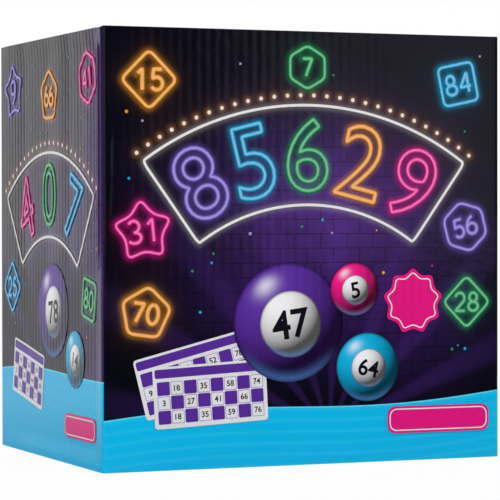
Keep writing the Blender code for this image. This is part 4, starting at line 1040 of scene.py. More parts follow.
# Printed faces
@dataclass(frozen=True)
class Panel:
    """Face of the carton with its own drawing plane: s to the right and t up, seen from outside."""

    name: str
    body: str
    node: str
    width: float
    height: float
    origin: Place
    right: Place
    up: Place = UP
    roll: float = FOLD_RADIUS

    @property
    def out(self) -> Vector:
        """Direction that the face looks in."""
        return Vector(self.right).cross(Vector(self.up))

    @property
    def matrix(self) -> Matrix:
        """Takes s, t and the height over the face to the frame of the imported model."""
        turn = Matrix((self.right, self.up, self.out)).transposed().to_4x4()
        return Matrix.Translation(self.origin) @ turn

    def relief(self, s: float) -> float:
        """Height of the flutes that show through the face.

        Args:
            s: Place across the face.

        Returns:
            The height over the face.
        """
        where = (Vector(self.origin) + Vector(self.right) * s).dot(Vector(self.right))
        fade = min(1.0, max(0.0, min(s, self.width - s) - self.roll) / 0.016)
        uneven = 0.8 + 0.8 * noise.noise(Vector((where * 75.0, self.width * 40.0, 0.0)))
        height = FLUTE_RELIEF * 0.32
        if self.width == DEPTH:
            behind_fold = self.origin[1] + self.right[1] * s + DEPTH / 2
            height = FLUTE_RELIEF * (1.0 + 0.8 * math.exp(-(((behind_fold - 0.024) / 0.010) ** 2)))
        return height * fade * uneven * math.cos(math.tau * where / FLUTE_PITCH)

    def slack(self, s: float, t: float) -> float:
        """Depth of the paper's soft bends, strongest beside a rolled fold.

        Args:
            s: Place across the face.
            t: Place upwards.

        Returns:
            The depth.
        """
        depth = 0.00010 * noise.noise(Vector((s * 9.0, t * 7.0, self.width * 40.0)))
        if not self.roll:
            return max(-0.00003, depth)
        edge = min(s, self.width - s) - self.roll
        crinkle = math.exp(-((edge - 0.003) / 0.0035) ** 2)
        crinkle *= noise.noise(Vector((s * 330.0, t * 42.0, self.width * 40.0)))
        if self.width != DEPTH:
            return depth + 0.00011 * crinkle
        free = min(1.0, max(0.0, min(t, self.height - t) - 0.0005) / 0.014)
        fall = free * free * (3.0 - 2.0 * free) * side_fall(self.origin[1] + self.right[1] * s)
        return depth + 0.00002 * crinkle + fall

    def wrap(self, along: float) -> tuple[float, float]:
        """Place of a point of the wrapped paper, which turns halfway round each rolled fold.

        Args:
            along: Distance along the paper from the start of the flat part.

        Returns:
            Place across the face, and depth behind it.
        """
        over = max(-along, along - (self.width - 2 * self.roll), 0.0)
        if not over:
            return self.roll + along, 0.0
        angle = over / self.roll
        reach, depth = self.roll * math.sin(angle), self.roll * (1 - math.cos(angle))
        return (self.roll - reach if along < 0 else self.width - self.roll + reach), depth


class Artwork:
    """Everything that is printed on one face: lines that glow, flat shapes and balls."""

    TUBE_LIFT = PRINT_LIFT + PRINT_STEP * 12
    LOW_LIFT = PRINT_LIFT + PRINT_STEP

    def __init__(self, panel: Panel) -> None:
        """Starts with nothing printed.

        Args:
            panel: The face.
        """
        self.panel = panel
        self.tubes, self.flats, self.discs = (self.sheet() for _ in range(3))
        self.samples: list[tuple[np.ndarray, Colour, float]] = []
        self.layer = 0

    @staticmethod
    def sheet() -> Shape:
        """Empty ink layer with its attributes."""
        shape = bmesh.new()
        layers = shape.verts.layers
        for kind, name in ((layers.float_color, "tint"), (layers.float, "across"), (layers.float_vector, "disc")):
            kind.new(name)
        return shape

    def next_lift(self) -> float:
        """Height of the next ink over the face."""
        self.layer += 1
        return PRINT_LIFT + PRINT_STEP * self.layer

    def take(
        self, sheet: Shape, source: Union[Mesh, Shape], place: Matrix, tint: Colour, radius: float = 0.0
    ) -> None:
        """Adds a mesh or shape to an ink layer.

        Args:
            sheet: The ink layer.
            source: The mesh, which is kept, or the shape, in its own flat space.
            place: Takes it to the face's plane.
            tint: Colour of the ink.
            radius: Radius of a tube that is pressed flat, or zero.
        """
        mesh = as_mesh(source) if isinstance(source, Shape) else source
        start = len(sheet.verts)
        sheet.from_mesh(mesh)
        sheet.verts.ensure_lookup_table()
        layers = sheet.verts.layers
        colour, across, disc = layers.float_color["tint"], layers.float["across"], layers.float_vector["disc"]
        for vert in sheet.verts[start:]:
            vert[colour], vert[disc] = (*tint, 1.0), vert.co
            if radius:
                vert[across] = max(0.0, min(1.0, vert.co.z / radius))
                vert.co.z = max(0.0, vert.co.z) * 0.06
            vert.co = place @ vert.co
        if mesh is not source:
            bpy.data.meshes.remove(mesh)

    def line(
        self, points: Sequence[Point], tint: Neon, radius: float, closed: bool = False, glow: float = 1.0
    ) -> None:
        """Prints a glowing tube along a line.

        Args:
            points: Points of the line on the face.
            tint: Its ink.
            radius: Half of its width.
            closed: Whether its last point joins its first.
            glow: Strength of its halo.
        """
        places = resampled(points, closed)
        shape = shape_of_curve(wire_curve([(x, y, 0) for x, y in places], radius, 2, closed))
        cleaved(shape, (0, 0, 0), UP, clear_inner=True)
        self.take(self.tubes, shape, at(0, 0, self.TUBE_LIFT), tint.value, radius)
        if glow:
            self.samples.append((np.array(places), tint.value, glow))

    def shape(self, points: Sequence[Point], ink: Ink, lift: Optional[float] = None) -> None:
        """Prints a flat shape.

        Args:
            points: Its outline on the face, anticlockwise.
            ink: Its ink.
            lift: Its height over the face, or None for the next layer.
        """
        shape = bmesh.new()
        shape.faces.new([shape.verts.new((x, y, 0)) for x, y in points])
        for axis, way in ((0, Vector((1, 0, 0))), (1, Vector((0, 1, 0)))):
            low, high = (pick(p[axis] for p in points) for pick in (min, max))
            parts = int((high - low) / SHAPE_SPAN)
            for i in range(1, parts):
                cleaved(shape, way * (low + (high - low) * i / parts), way)
        self.take(self.flats, shape, at(0, 0, lift or self.next_lift()), ink.value)

    def numeral(
        self, body: str, s: float, t: float, height: float, ink: Ink, tilt: float = 0.0,
        lift: Optional[float] = None,
    ) -> None:
        """Prints a filled number.

        Args:
            body: Its digits.
            s: Its middle across.
            t: Its middle upwards.
            height: Its height.
            ink: Its ink.
            tilt: Its turn in degrees.
            lift: Its height over the face, or None for the next layer.
        """
        turn = Matrix.Rotation(math.radians(tilt), 4, "Z") @ Matrix.Scale(height, 4)
        self.take(self.flats, numeral_shape(body), at(s, t, lift or self.next_lift()) @ turn, ink.value)

    def halo(self, places: np.ndarray) -> np.ndarray:
        """Light of all the tubes at places on the face.

        Args:
            places: Places as rows of s and t.

        Returns:
            Colour at each place.
        """
        total = np.zeros((len(places), 3))
        reach = 0.026
        for points, tint, glow in self.samples:
            low, high = points.min(0) - reach, points.max(0) + reach
            near = np.nonzero(((places > low) & (places < high)).all(1))[0]
            if not len(near):
                continue
            nearest = np.full(len(near), 1.0)
            for block in np.array_split(points, max(1, len(points) // 60)):
                gaps = places[near][:, None, :] - block[None, :, :]
                nearest = np.minimum(nearest, np.sqrt((gaps**2).sum(2)).min(1))
            light = 0.42 * np.exp(-((nearest / 0.0023) ** 2)) + 0.028 * np.exp(-nearest / 0.0045)
            light *= np.clip((reach - nearest) / 0.008, 0, 1)
            total[near] += glow * light[:, None] * np.array(tint)
        return total

    def map_onto(self, mesh: Mesh) -> None:
        """Gives a mesh a plain map of the face, for the finishes to be baked on.

        Args:
            mesh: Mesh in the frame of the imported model.
        """
        back = self.panel.matrix.inverted()
        layer = mesh.uv_layers.new(name=BAKE_MAP)
        places = [back @ v.co for v in mesh.vertices]
        flat = np.array([places[loop.vertex_index][:2] for loop in mesh.loops])
        flat = (flat + 0.006) / (np.array((self.panel.width, self.panel.height)) + 0.012)
        layer.data.foreach_set("uv", np.clip(flat, 0, 1).astype(np.float32).ravel())

    def build_paper(self, finish: Finish) -> None:
        """Makes the face's paper, with the flutes in relief and the tubes' light on it.

        Args:
            finish: The paper's finish.
        """
        panel = self.panel
        half_turn = panel.roll * math.pi / 4 * 1.04
        across = panel.width - 2 * panel.roll + 2 * half_turn
        shape = bmesh.new()
        columns, rows = round(across / GRID_ACROSS), round(panel.height / GRID_UP)
        bmesh.ops.create_grid(shape, x_segments=columns, y_segments=rows, size=0.5)
        places = []
        for vert in shape.verts:
            s, depth = panel.wrap((vert.co.x + 0.5) * across - half_turn)
            t = (vert.co.y + 0.5) * panel.height
            places.append((s, t))
            vert.co = panel.matrix @ Vector((s, t, panel.relief(s) - depth - panel.slack(s, t)))
        glow = shape.verts.layers.float_color.new("glow")
        for vert, colour in zip(shape.verts, self.halo(np.array(places))):
            vert[glow] = (*colour, 1.0)
        inner = grown(shape, (edge for edge in shape.edges if edge.is_boundary))
        bmesh.ops.translate(shape, vec=-panel.out * LINER, verts=inner)
        mesh = as_mesh(shape)
        self.map_onto(mesh)
        new_piece(f"{panel.name}_print", mesh, [finish], [panel.node], panel.body)

    def build_ink(self, name: str, sheet: Shape, ink: Finish) -> None:
        """Makes the piece of one ink layer, laid on the bent paper.

        Args:
            name: Name of the piece.
            sheet: The ink layer.
            ink: Its finish.
        """
        for vert in sheet.verts:
            vert.co.z -= self.panel.slack(vert.co.x, vert.co.y)
        mesh = as_mesh(placed(sheet, self.panel.matrix))
        self.map_onto(mesh)
        new_piece(name, mesh, [ink], [self.panel.node], self.panel.body, smooth=180.0)

    def build(self, finish: Finish) -> None:
        """Makes the paper and each ink layer that holds something.

        Args:
            finish: The paper's finish.
        """
        self.build_paper(finish)
        across = tuple(map(abs, self.panel.right))
        axis = "x" if across[0] > 0.5 else "y"
        layers = ((TubeInk, "tube", self.tubes), (FlatInk, "flat", self.flats), (BallInk, "ball", self.discs))
        for kind, word, sheet in layers:
            if sheet.verts:
                ink = kind(f"{word}_ink_{axis}", "printed_board", across)
                self.build_ink(f"{self.panel.name}_{word}s", sheet, ink)


class Print:
    """Something printed on a face."""

    def draw(self, art: Artwork) -> None:
        """Prints it."""
        raise NotImplementedError

    def covers(self, s: float, t: float) -> bool:
        """Whether a place is too near it for a speck."""
        return False


@dataclass(frozen=True)
class Spot(Print):
    """Round print."""

    s: float
    t: float
    radius: float

    def covers(self, s: float, t: float) -> bool:
        """Whether a place is too near it for a speck."""
        return math.hypot(s - self.s, t - self.t) <= self.radius + 0.004


class Outline(Enum):
    """Outlines of the signs: corner count, share of a star's inner corners, and turn in degrees."""

    HEXAGON = (6, 1.0, 90.0)
    DIAMOND = (4, 1.0, 90.0)
    SQUARE = (4, 1.0, 45.0)
    STAR = (5, 0.62, 90.0)
    PENTAGON = (5, 1.0, 90.0)
    BURST = (9, 0.80, 90.0)

    def corners(self, radius: float) -> list[Point]:
        """Corners of the outline about the origin."""
        count, inner, turn = self.value
        return polygon(count, radius, inner, turn)


@dataclass(frozen=True)
class Sign(Spot):
    """Neon outline round a plain number."""

    outline: Outline
    number: int
    tint: Neon
    tilt: float = 0.0

    def draw(self, art: Artwork) -> None:
        """Prints the sign.

        Args:
            art: Artwork of the face.
        """
        edge = softened(self.outline.corners(self.radius), self.radius * 0.22, True)
        art.line(moved(edge, self.s, self.t, self.tilt), self.tint, 0.00120, True)
        height = self.radius * (0.80 if self.number < 10 else 0.70)
        for line in number_lines(self.number):
            points = softened(moved(line, 0, 0, 0, height), height * 0.06, False, 3)
            art.line(moved(points, self.s, self.t, self.tilt), self.tint, 0.00145)


@dataclass(frozen=True)
class Ball(Spot):
    """Glossy ball with a plain number on a white spot."""

    ink: Ink
    number: int
    tilt: float

    def draw(self, art: Artwork) -> None:
        """Prints the ball.

        Args:
            art: Artwork of the face.
        """
        s, t = self.s + self.radius * 0.04, self.t - self.radius * 0.03
        for x, y, size, ink in ((self.s, self.t, self.radius, self.ink), (s, t, self.radius * 0.56, Ink.WHITE)):
            disc = bmesh.new()
            bmesh.ops.create_circle(disc, cap_ends=True, cap_tris=True, segments=72, radius=1.0)
            art.take(art.discs, disc, at(x, y, art.next_lift()) @ Matrix.Scale(size, 4), ink.value)
        height = self.radius * (0.62 if self.number < 10 else 0.5)
        art.numeral(str(self.number), s, t, height, Ink.NIGHT, self.tilt)


@dataclass(frozen=True)
class Burst(Spot):
    """Pink disc with a toothed edge and a thin white line inside it."""

    def draw(self, art: Artwork) -> None:
        """Prints the disc.

        Args:
            art: Artwork of the face.
        """
        outer, inner = (
            moved(softened(Outline.BURST.corners(self.radius * share), self.radius * soft, True), self.s, self.t)
            for share, soft in ((1.0, 0.12), (0.86, 0.10))
        )
        art.shape(outer, Ink.HOT_PINK)
        art.line(inner, Neon.WHITE, 0.0004, True, 0.0)


@dataclass(frozen=True)
class Plate(Print):
    """Pink plate with round corners and a thin white line inside it."""

    s: float
    t: float
    width: float
    height: float

    def draw(self, art: Artwork) -> None:
        """Prints the plate.

        Args:
            art: Artwork of the face.
        """
        outer, inner = (
            moved(round_box(self.width - inset, self.height - inset, self.height * soft), self.s, self.t)
            for inset, soft in ((0.0, 0.32), (0.0036, 0.26))
        )
        art.shape(outer, Ink.HOT_PINK)
        art.line(inner, Neon.WHITE, 0.0004, True, 0.0)


@dataclass(frozen=True)
class Card(Print):
    """Tilted number card with three rows of cells."""

    s: float
    t: float
    size: float
    tilt: float
    seed: int
    columns: int

    def draw(self, art: Artwork) -> None:
        """Prints the card.

        Args:
            art: Artwork of the face.
        """
        draw = random.Random(self.seed)
        size = self.size

        def box(width: float, height: float, radius: float, steps: int, x: float, y: float) -> list[Point]:
            """Round box on the tilted card, in cells."""
            points = round_box(width * size, height * size, radius * size, steps)
            return moved(moved(points, x, y), self.s, self.t, self.tilt)

        width, height = self.columns + 0.5, 3 + 1.3
        art.shape(box(width, height, 0.25, 3, 0, 0), Ink.WHITE)
        art.shape(box(width - 0.3, 0.62, 0.12, 2, 0, (height / 2 - 0.48) * size), Ink.PURPLE)
        cells, numbers = art.next_lift(), art.next_lift()
        for row in range(3):
            for column in range(self.columns):
                x, y = (column - (self.columns - 1) / 2) * size, (row - 1 - 0.36) * size
                if (row + column) % 2 == 0:
                    art.shape(box(0.94, 0.94, 0.06, 1, x, y), Ink.PURPLE, cells)
                    continue
                art.shape(box(0.94, 0.94, 0.06, 1, x, y), Ink.LILAC, cells)
                art.shape(box(0.84, 0.84, 0.04, 1, x, y), Ink.WHITE, cells + PRINT_STEP / 2)
                (middle,) = moved([(x, y)], self.s, self.t, self.tilt)
                number = str(column * 10 + draw.randint(1, 9))
                art.numeral(number, *middle, size * 0.42, Ink.NIGHT, self.tilt, numbers)


@dataclass(frozen=True)
class Arch(Print):
    """Band of two white bows with large outlined digits between them and a row of small lamps."""

    s: float
    t: float
    inner: float
    outer: float
    half_angle: float
    digits: str
    tints: tuple[Neon, ...]

    def ring(self, radius: float, angle: float) -> Point:
        """Point of the arch at a radius, degrees to the right of upright."""
        turn = math.radians(90 - angle)
        return self.s + radius * math.cos(turn), self.t + radius * math.sin(turn)

    def covers(self, s: float, t: float) -> bool:
        """Whether a place is too near it for a speck."""
        away, up = s - self.s, t - self.t
        beside = abs(math.degrees(math.atan2(away, up))) < self.half_angle + 3
        return beside and self.inner - 0.004 < math.hypot(away, up) < self.outer + 0.010

    def draw(self, art: Artwork) -> None:
        """Prints the arch.

        Args:
            art: Artwork of the face.
        """
        reach, steps = self.half_angle, 60
        spread = [reach * (2 * i / steps - 1) for i in range(steps + 1)]
        band = [self.ring(self.outer, a) for a in spread] + [self.ring(self.inner, -a) for a in spread]
        art.line(softened(band, 0.006, True, 5), Neon.WHITE, 0.0009, True, 0.40)
        lamps = round(math.radians(2 * reach) * (self.outer + 0.006) / 0.009)
        for i in range(lamps + 1):
            lamp = self.ring(self.outer + 0.0062, reach * (2 * i / lamps - 1))
            art.shape(moved(polygon(12, 0.0013), *lamp), Ink.WHITE, art.LOW_LIFT)
            art.samples.append((np.array([lamp]), Neon.ORANGE.value, 0.7))
        height, middle = (self.outer - self.inner) * 0.72, (self.outer + self.inner) / 2
        count = len(self.digits)
        for i, (digit, tint) in enumerate(zip(self.digits, self.tints)):
            angle = (i - (count - 1) / 2) * 2 * reach / count * 0.96
            for loop in numeral_loops(digit):
                points = moved(loop, *self.ring(middle, angle), -angle, height)
                art.line(softened(points, 0.0006, True, 2), tint, 0.00145, True)


@dataclass(frozen=True)
class Board(Print):
    """Master board with every number from 1 to 90."""

    s: float
    t: float
    pitch: float

    def covers(self, s: float, t: float) -> bool:
        """Whether a place is too near it for a speck."""
        return abs(s - self.s) < 0.11 and abs(t - self.t) < 0.10

    def draw(self, art: Artwork) -> None:
        """Prints the board.

        Args:
            art: Artwork of the face.
        """
        width, height = 10 * self.pitch + 0.008, 9 * self.pitch + 0.008
        art.shape(moved(round_box(width, height, 0.006), self.s, self.t), Ink.WHITE)
        frame_line = moved(round_box(width + 0.008, height + 0.008, 0.010), self.s, self.t)
        art.line(frame_line, Neon.PINK, 0.0012, True)
        cells, numbers = art.next_lift(), art.next_lift()
        for number in range(1, 91):
            row, column = divmod(number - 1, 10)
            s, t = self.s + (column - 4.5) * self.pitch, self.t - (row - 4) * self.pitch
            ground, ink = (Ink.PURPLE, Ink.WHITE) if (row + column) % 2 else (Ink.WHITE, Ink.PURPLE)
            art.shape(moved(round_box(self.pitch * 0.9, self.pitch * 0.9, 0.0014, 2), s, t), ground, cells)
            art.numeral(str(number), s, t, self.pitch * 0.42, ink, 0.0, numbers)


@dataclass
class FaceDesign:
    """Art of one face: its ground, its prints in order and its specks."""

    ground: Ground
    prints: tuple[Print, ...]
    specks: int

    def scatter(self, art: Artwork) -> None:
        """Prints small bright specks over the free night ground.

        Args:
            art: Artwork of the face.
        """
        panel = art.panel
        draw = random.Random(len(panel.name) * 7 + self.specks)
        inks = (Ink.HOT_PINK, Ink.CYAN, Ink.ORANGE, Ink.GREEN, Ink.LILAC)
        for _ in range(self.specks):
            s, t = draw.uniform(0.010, panel.width - 0.010), draw.uniform(0.06, panel.height - 0.010)
            size, turn, ink = draw.uniform(0.0007, 0.0013), draw.uniform(0, 90), draw.choice(inks)
            if not any(one.covers(s, t) for one in self.prints):
                art.shape(moved(polygon(4, size), s, t, turn), ink, art.LOW_LIFT)

    def build(self) -> None:
        """Prints the face and makes its pieces."""
        art = Artwork(self.ground.panel)
        self.scatter(art)
        for one in self.prints:
            one.draw(art)
        art.build(self.ground)


# Printed carton
WALL = ("carton", "carton_sleeve")
FRONT_FACE = Panel("front", *WALL, WIDTH, HEIGHT, (-WIDTH / 2, -DEPTH / 2, 0.0), (1, 0, 0))
LEFT_FACE = Panel("left", *WALL, DEPTH, SIDE_HEIGHT, (-WIDTH / 2, DEPTH / 2, 0.0), (0, -1, 0))
RIGHT_FACE = Panel("right", *WALL, DEPTH, SIDE_HEIGHT, (WIDTH / 2, -DEPTH / 2, 0.0), (0, 1, 0))
REAR_FACE = Panel("rear", *WALL, WIDTH, FLAP_TOP, (WIDTH / 2, DEPTH / 2, 0.0), (-1, 0, 0))
LID_FACE = Panel(
    "lid", "lid", "lid_panel", 2 * LID_SIDE, LID_REAR - LID_FRONT, (-LID_SIDE, LID_FRONT, LID_TOP),
    (1, 0, 0), (0, 1, 0), 0.0,
)


def ground_of(panel: Panel, beam_s: float, level: float, slope: float, swing: float, *lamps: Lamp) -> Ground:
    """Ground of one face, whose floor starts at a level, rises by a slope and swings."""
    return Ground(f"{panel.name}_ground", "printed_board", panel, beam_s, level, slope, swing, lamps)


def front_design() -> FaceDesign:
    """Art of the front."""
    lamps = (
        Lamp(0.150, 0.160, 0.062, 0.046, 0.74),
        Lamp(0.105, 0.100, 0.050, 0.034, 0.16),
        Lamp(0.20, 0.09, 0.05, 0.04, 0.22),
    )
    tints = (Neon.VIOLET, Neon.BLUE, Neon.GREEN, Neon.ORANGE, Neon.PINK)
    return FaceDesign(
        ground_of(FRONT_FACE, 0.15, 0.030, 0.052, 0.0035, *lamps),
        (
            Arch(0.135, 0.038, 0.124, 0.186, 36.0, "85629", tints),
            Card(0.060, 0.058, 0.0088, 14.0, 11, 8),
            Card(0.070, 0.046, 0.0088, 3.0, 12, 8),
            Sign(0.030, 0.238, 0.0180, Outline.DIAMOND, 15, Neon.ORANGE),
            Sign(0.135, 0.2475, 0.0135, Outline.HEXAGON, 7, Neon.GREEN),
            Sign(0.240, 0.239, 0.0175, Outline.SQUARE, 84, Neon.BLUE, 12.0),
            Sign(0.0260, 0.146, 0.0195, Outline.STAR, 31, Neon.PINK, 6.0),
            Sign(0.245, 0.148, 0.0160, Outline.HEXAGON, 56, Neon.VIOLET, 15.0),
            Sign(0.0275, 0.096, 0.0165, Outline.PENTAGON, 70, Neon.ORANGE, -8.0),
            Sign(0.246, 0.100, 0.0165, Outline.DIAMOND, 28, Neon.GREEN),
            Burst(0.208, 0.101, 0.0215),
            Plate(0.226, 0.026, 0.072, 0.017),
            Ball(0.122, 0.089, 0.0370, Ink.PURPLE, 47, 8.0),
            Ball(0.176, 0.060, 0.0215, Ink.CYAN, 64, -12.0),
            Ball(0.167, 0.109, 0.0165, Ink.HOT_PINK, 5, 10.0),
        ),
        90,
    )


def side_design(panel: Panel, flip: bool) -> FaceDesign:
    """Art of a side face.

    Args:
        panel: The face.
        flip: Whether the layout is mirrored, with other numbers.

    Returns:
        The design.
    """

    def place(s: float) -> float:
        """Place across, mirrored where the layout is."""
        return DEPTH - s if flip else s

    way = -1 if flip else 1
    numbers = (17, 52, 6, 73, 39, 33, 59) if flip else (9, 66, 41, 25, 80, 78, 14)
    lamps = (Lamp(0.115, 0.160, 0.060, 0.055, 0.26), Lamp(0.214, 0.150, 0.040, 0.160, 0.46))
    tints = (Neon.PINK, Neon.GREEN, Neon.BLUE)
    return FaceDesign(
        ground_of(panel, 0.10, 0.052, 0.03 * way, 0.003, *lamps),
        (
            Arch(0.105, 0.046, 0.096, 0.150, 36.0, "407"[::way], tints[::way]),
            Card(place(0.060), 0.052, 0.0084, 10.0 if flip else -9.0, 21 + flip, 7),
            Sign(place(0.030), 0.238, 0.0185, Outline.STAR, numbers[0], Neon.VIOLET, 8.0),
            Sign(place(0.105), 0.232, 0.0170, Outline.PENTAGON, numbers[1], Neon.ORANGE),
            Sign(place(0.181), 0.240, 0.0165, Outline.HEXAGON, numbers[2], Neon.PINK, 10.0),
            Sign(place(0.027), 0.108, 0.0170, Outline.DIAMOND, numbers[3], Neon.BLUE),
            Sign(place(0.183), 0.104, 0.0165, Outline.SQUARE, numbers[4], Neon.GREEN, -10.0),
            Plate(place(0.165), 0.024, 0.060, 0.015),
            Ball(place(0.112), 0.095, 0.0300, Ink.PURPLE, numbers[5], 6.0),
            Ball(place(0.156), 0.066, 0.0180, Ink.CYAN, numbers[6], -10.0),
        ),
        60,
    )


def rear_design() -> FaceDesign:
    """Art of the rear, with the master board of numbers."""
    return FaceDesign(
        ground_of(REAR_FACE, 0.135, 0.030, 0.0, 0.004, Lamp(0.135, 0.15, 0.09, 0.07, 0.8)),
        (
            Board(0.135, 0.142, 0.0182),
            Sign(0.021, 0.240, 0.0140, Outline.HEXAGON, 11, Neon.GREEN),
            Sign(0.250, 0.240, 0.0150, Outline.DIAMOND, 90, Neon.ORANGE),
            Plate(0.205, 0.024, 0.072, 0.016),
            Ball(0.040, 0.030, 0.0200, Ink.PURPLE, 85, 8.0),
            Ball(0.082, 0.022, 0.0140, Ink.HOT_PINK, 4, -8.0),
        ),
        40,
    )


def lid_design() -> FaceDesign:
    """Art of the lid."""
    return FaceDesign(
        ground_of(LID_FACE, 0.131, -0.02, 0.0, 0.002, Lamp(0.131, 0.10, 0.10, 0.06, 0.9)),
        (
            Arch(0.1314, -0.020, 0.110, 0.166, 35.0, "3816", (Neon.ORANGE, Neon.PINK, Neon.GREEN, Neon.BLUE)),
            Sign(0.030, 0.176, 0.0180, Outline.STAR, 68, Neon.PINK, -6.0),
            Sign(0.1314, 0.178, 0.0160, Outline.HEXAGON, 20, Neon.GREEN),
            Sign(0.232, 0.176, 0.0175, Outline.DIAMOND, 45, Neon.ORANGE),
            Sign(0.024, 0.090, 0.0155, Outline.PENTAGON, 87, Neon.VIOLET, 8.0),
            Sign(0.240, 0.090, 0.0155, Outline.SQUARE, 2, Neon.BLUE, -8.0),
            Ball(0.1180, 0.048, 0.0290, Ink.PURPLE, 77, 6.0),
            Ball(0.1620, 0.034, 0.0180, Ink.CYAN, 13, -10.0),
            Ball(0.0790, 0.030, 0.0160, Ink.HOT_PINK, 8, 10.0),
        ),
        60,
    )


# Paper and board
@dataclass(frozen=True)
class Kraft(Finish):
    """Brown liner paper with its fibres, and the flutes where a cut edge shows them."""

    flutes: Optional[Place] = None
    inked_below: bool = False

    def build(self) -> bpy.types.Material:
        """Makes the paper's node tree."""
        graph = Graph(self.name)
        fibre = graph.noise(900.0, 4.0, graph.stretched((1.0, 1.0, 0.18)))
        cloud = graph.noise(28.0, 3.0)
        fleck = graph.step(graph.noise(1700.0, 1.0), 0.66, 0.76)
        browns = ((0.30, (0.335, 0.205, 0.108)), (0.52, (0.455, 0.300, 0.172)), (0.74, (0.54, 0.375, 0.225)))
        colour = graph.mix(graph.times(cloud, 0.22), graph.ramp(fibre, browns), (0.30, 0.19, 0.105))
        colour = graph.mix(graph.times(fleck, 0.35), colour, (0.13, 0.08, 0.045))
        normal = graph.bump(graph.line(fibre, 0.6, graph.times(cloud, 0.4)), 0.00005)
        if self.flutes is not None:
            wave = graph.flutes(self.flutes)
            normal = graph.bump(graph.line(wave, 0.5, 0.5), 1.6 * FLUTE_RELIEF, normal)
            colour = graph.mix(graph.line(wave, 0.04, 0.04), colour, (0.25, 0.15, 0.08))
        if not self.inked_below:
            return graph.finish(colour, Roughness=0.88, Normal=normal)
        facing = graph.add("SeparateXYZ", {0: graph.add("NewGeometry").outputs["True Normal"]}).outputs[2]
        below = graph.step(facing, -0.6, -0.8)
        colour = graph.mix(below, colour, NIGHT_HIGH)
        return graph.finish(colour, Roughness=graph.line(below, -0.6, 0.88), Normal=normal)


@dataclass(frozen=True)
class PlainPaper(Finish):
    """White clay-coated paper."""

    def build(self) -> bpy.types.Material:
        """Makes the paper's node tree."""
        graph = Graph(self.name)
        whites = ((0.3, (0.74, 0.735, 0.715)), (0.7, (0.85, 0.85, 0.83)))
        return graph.finish(graph.ramp(graph.noise(420.0, 4.0), whites), Roughness=0.55, Normal=paper_grain(graph))


NIGHT_INK = FlatInk("night_ink", "printed_board")
CARD_INK = FlatInk("card_ink", "card_print")
WHITE_PAPER = PlainPaper("white_paper", "printed_board")
WALL_KRAFT_X = Kraft("kraft_front_rear", "plain_board", (1.0, 0.0, 0.0))
WALL_KRAFT_Y = Kraft("kraft_sides", "plain_board", (0.0, 1.0, 0.0))
DIVIDER_KRAFT = Kraft("kraft_divider", "plain_board", (0.0, 1.0, 0.0))
MEDIUM_KRAFT = Kraft("kraft_medium", "plain_board")
INSERT_KRAFT = Kraft("kraft_inserts", "plain_board")
BASE_KRAFT = Kraft("kraft_base", "plain_board", None, True)
CARD_EDGE = Kraft("card_edge", "card_print")


def tinted(shape: Shape, ink: Colour) -> Shape:
    """Gives a shape one ink's tint."""
    layer = shape.verts.layers.float_color.new("tint")
    for vert in shape.verts:
        vert[layer] = (*ink, 1.0)
    return shape


def swept(path: Iterable[Sequence[float]], shift: Sequence[float]) -> Shape:
    """Open sheet that a line leaves behind when it is shifted."""
    shape = bmesh.new()
    verts = [shape.verts.new(place) for place in path]
    edges = [shape.edges.new(pair) for pair in zip(verts, verts[1:])]
    bmesh.ops.translate(shape, vec=shift, verts=grown(shape, edges))
    return shape


@dataclass
class CorrugatedSheet:
    """Cut piece of corrugated board: two liners on a wavy medium, seen at its cut edges.

    Its own plane has the flutes side by side along X and running along Y, or the other way
    where they are swapped, with the outer face at height zero. It rides on the body of its name.
    """

    name: str
    node: str
    outline: list[Point]
    place: Matrix
    swap: bool = False

    def medium(self) -> Shape:
        """Wavy medium between the liners, cut to the outline."""
        corners = [(y, x) for x, y in self.outline[::-1]] if self.swap else self.outline
        low, high = np.min(corners, axis=0), np.max(corners, axis=0)
        middle, size = (low + high) / 2, high - low
        shape = bmesh.new()
        bmesh.ops.create_grid(shape, x_segments=round(size[0] / FLUTE_PITCH * 10), y_segments=1, size=0.5)
        for vert in shape.verts:
            x, y = vert.co.x * size[0] + middle[0], vert.co.y * size[1] + middle[1]
            vert.co = (x, y, -BOARD / 2 + MEDIUM_SWING * math.cos(math.tau * x / FLUTE_PITCH))
        for start, end in zip(corners, corners[1:] + corners[:1]):
            run = Vector((*end, 0)) - Vector((*start, 0))
            if run.length > 1e-6:
                cleaved(shape, (*start, 0), Vector((run.y, -run.x, 0)).normalized(), clear_outer=True)
        bmesh.ops.solidify(shape, geom=shape.faces[:], thickness=MEDIUM)
        if self.swap:
            for vert in shape.verts:
                vert.co.x, vert.co.y = vert.co.y, vert.co.x
            bmesh.ops.reverse_faces(shape, faces=shape.faces)
        return shape

    def build(self, outer: Optional[Finish], inner: Finish) -> None:
        """Makes the sheet's pieces.

        Args:
            outer: Finish of the outer liner, or None where the art makes it.
            inner: Finish of the inner liner.
        """
        liner = plate_shape(self.outline, -BOARD, -BOARD + LINER)
        layers = [("liner", liner, inner), ("medium", self.medium(), MEDIUM_KRAFT)]
        if outer:
            layers.append(("paper", tinted(plate_shape(self.outline, -LINER, 0.0), NIGHT_HIGH), outer))
        for word, shape, finish in layers:
            new_piece(f"{self.name}_{word}", placed(shape, self.place), [finish], [self.node], self.name)


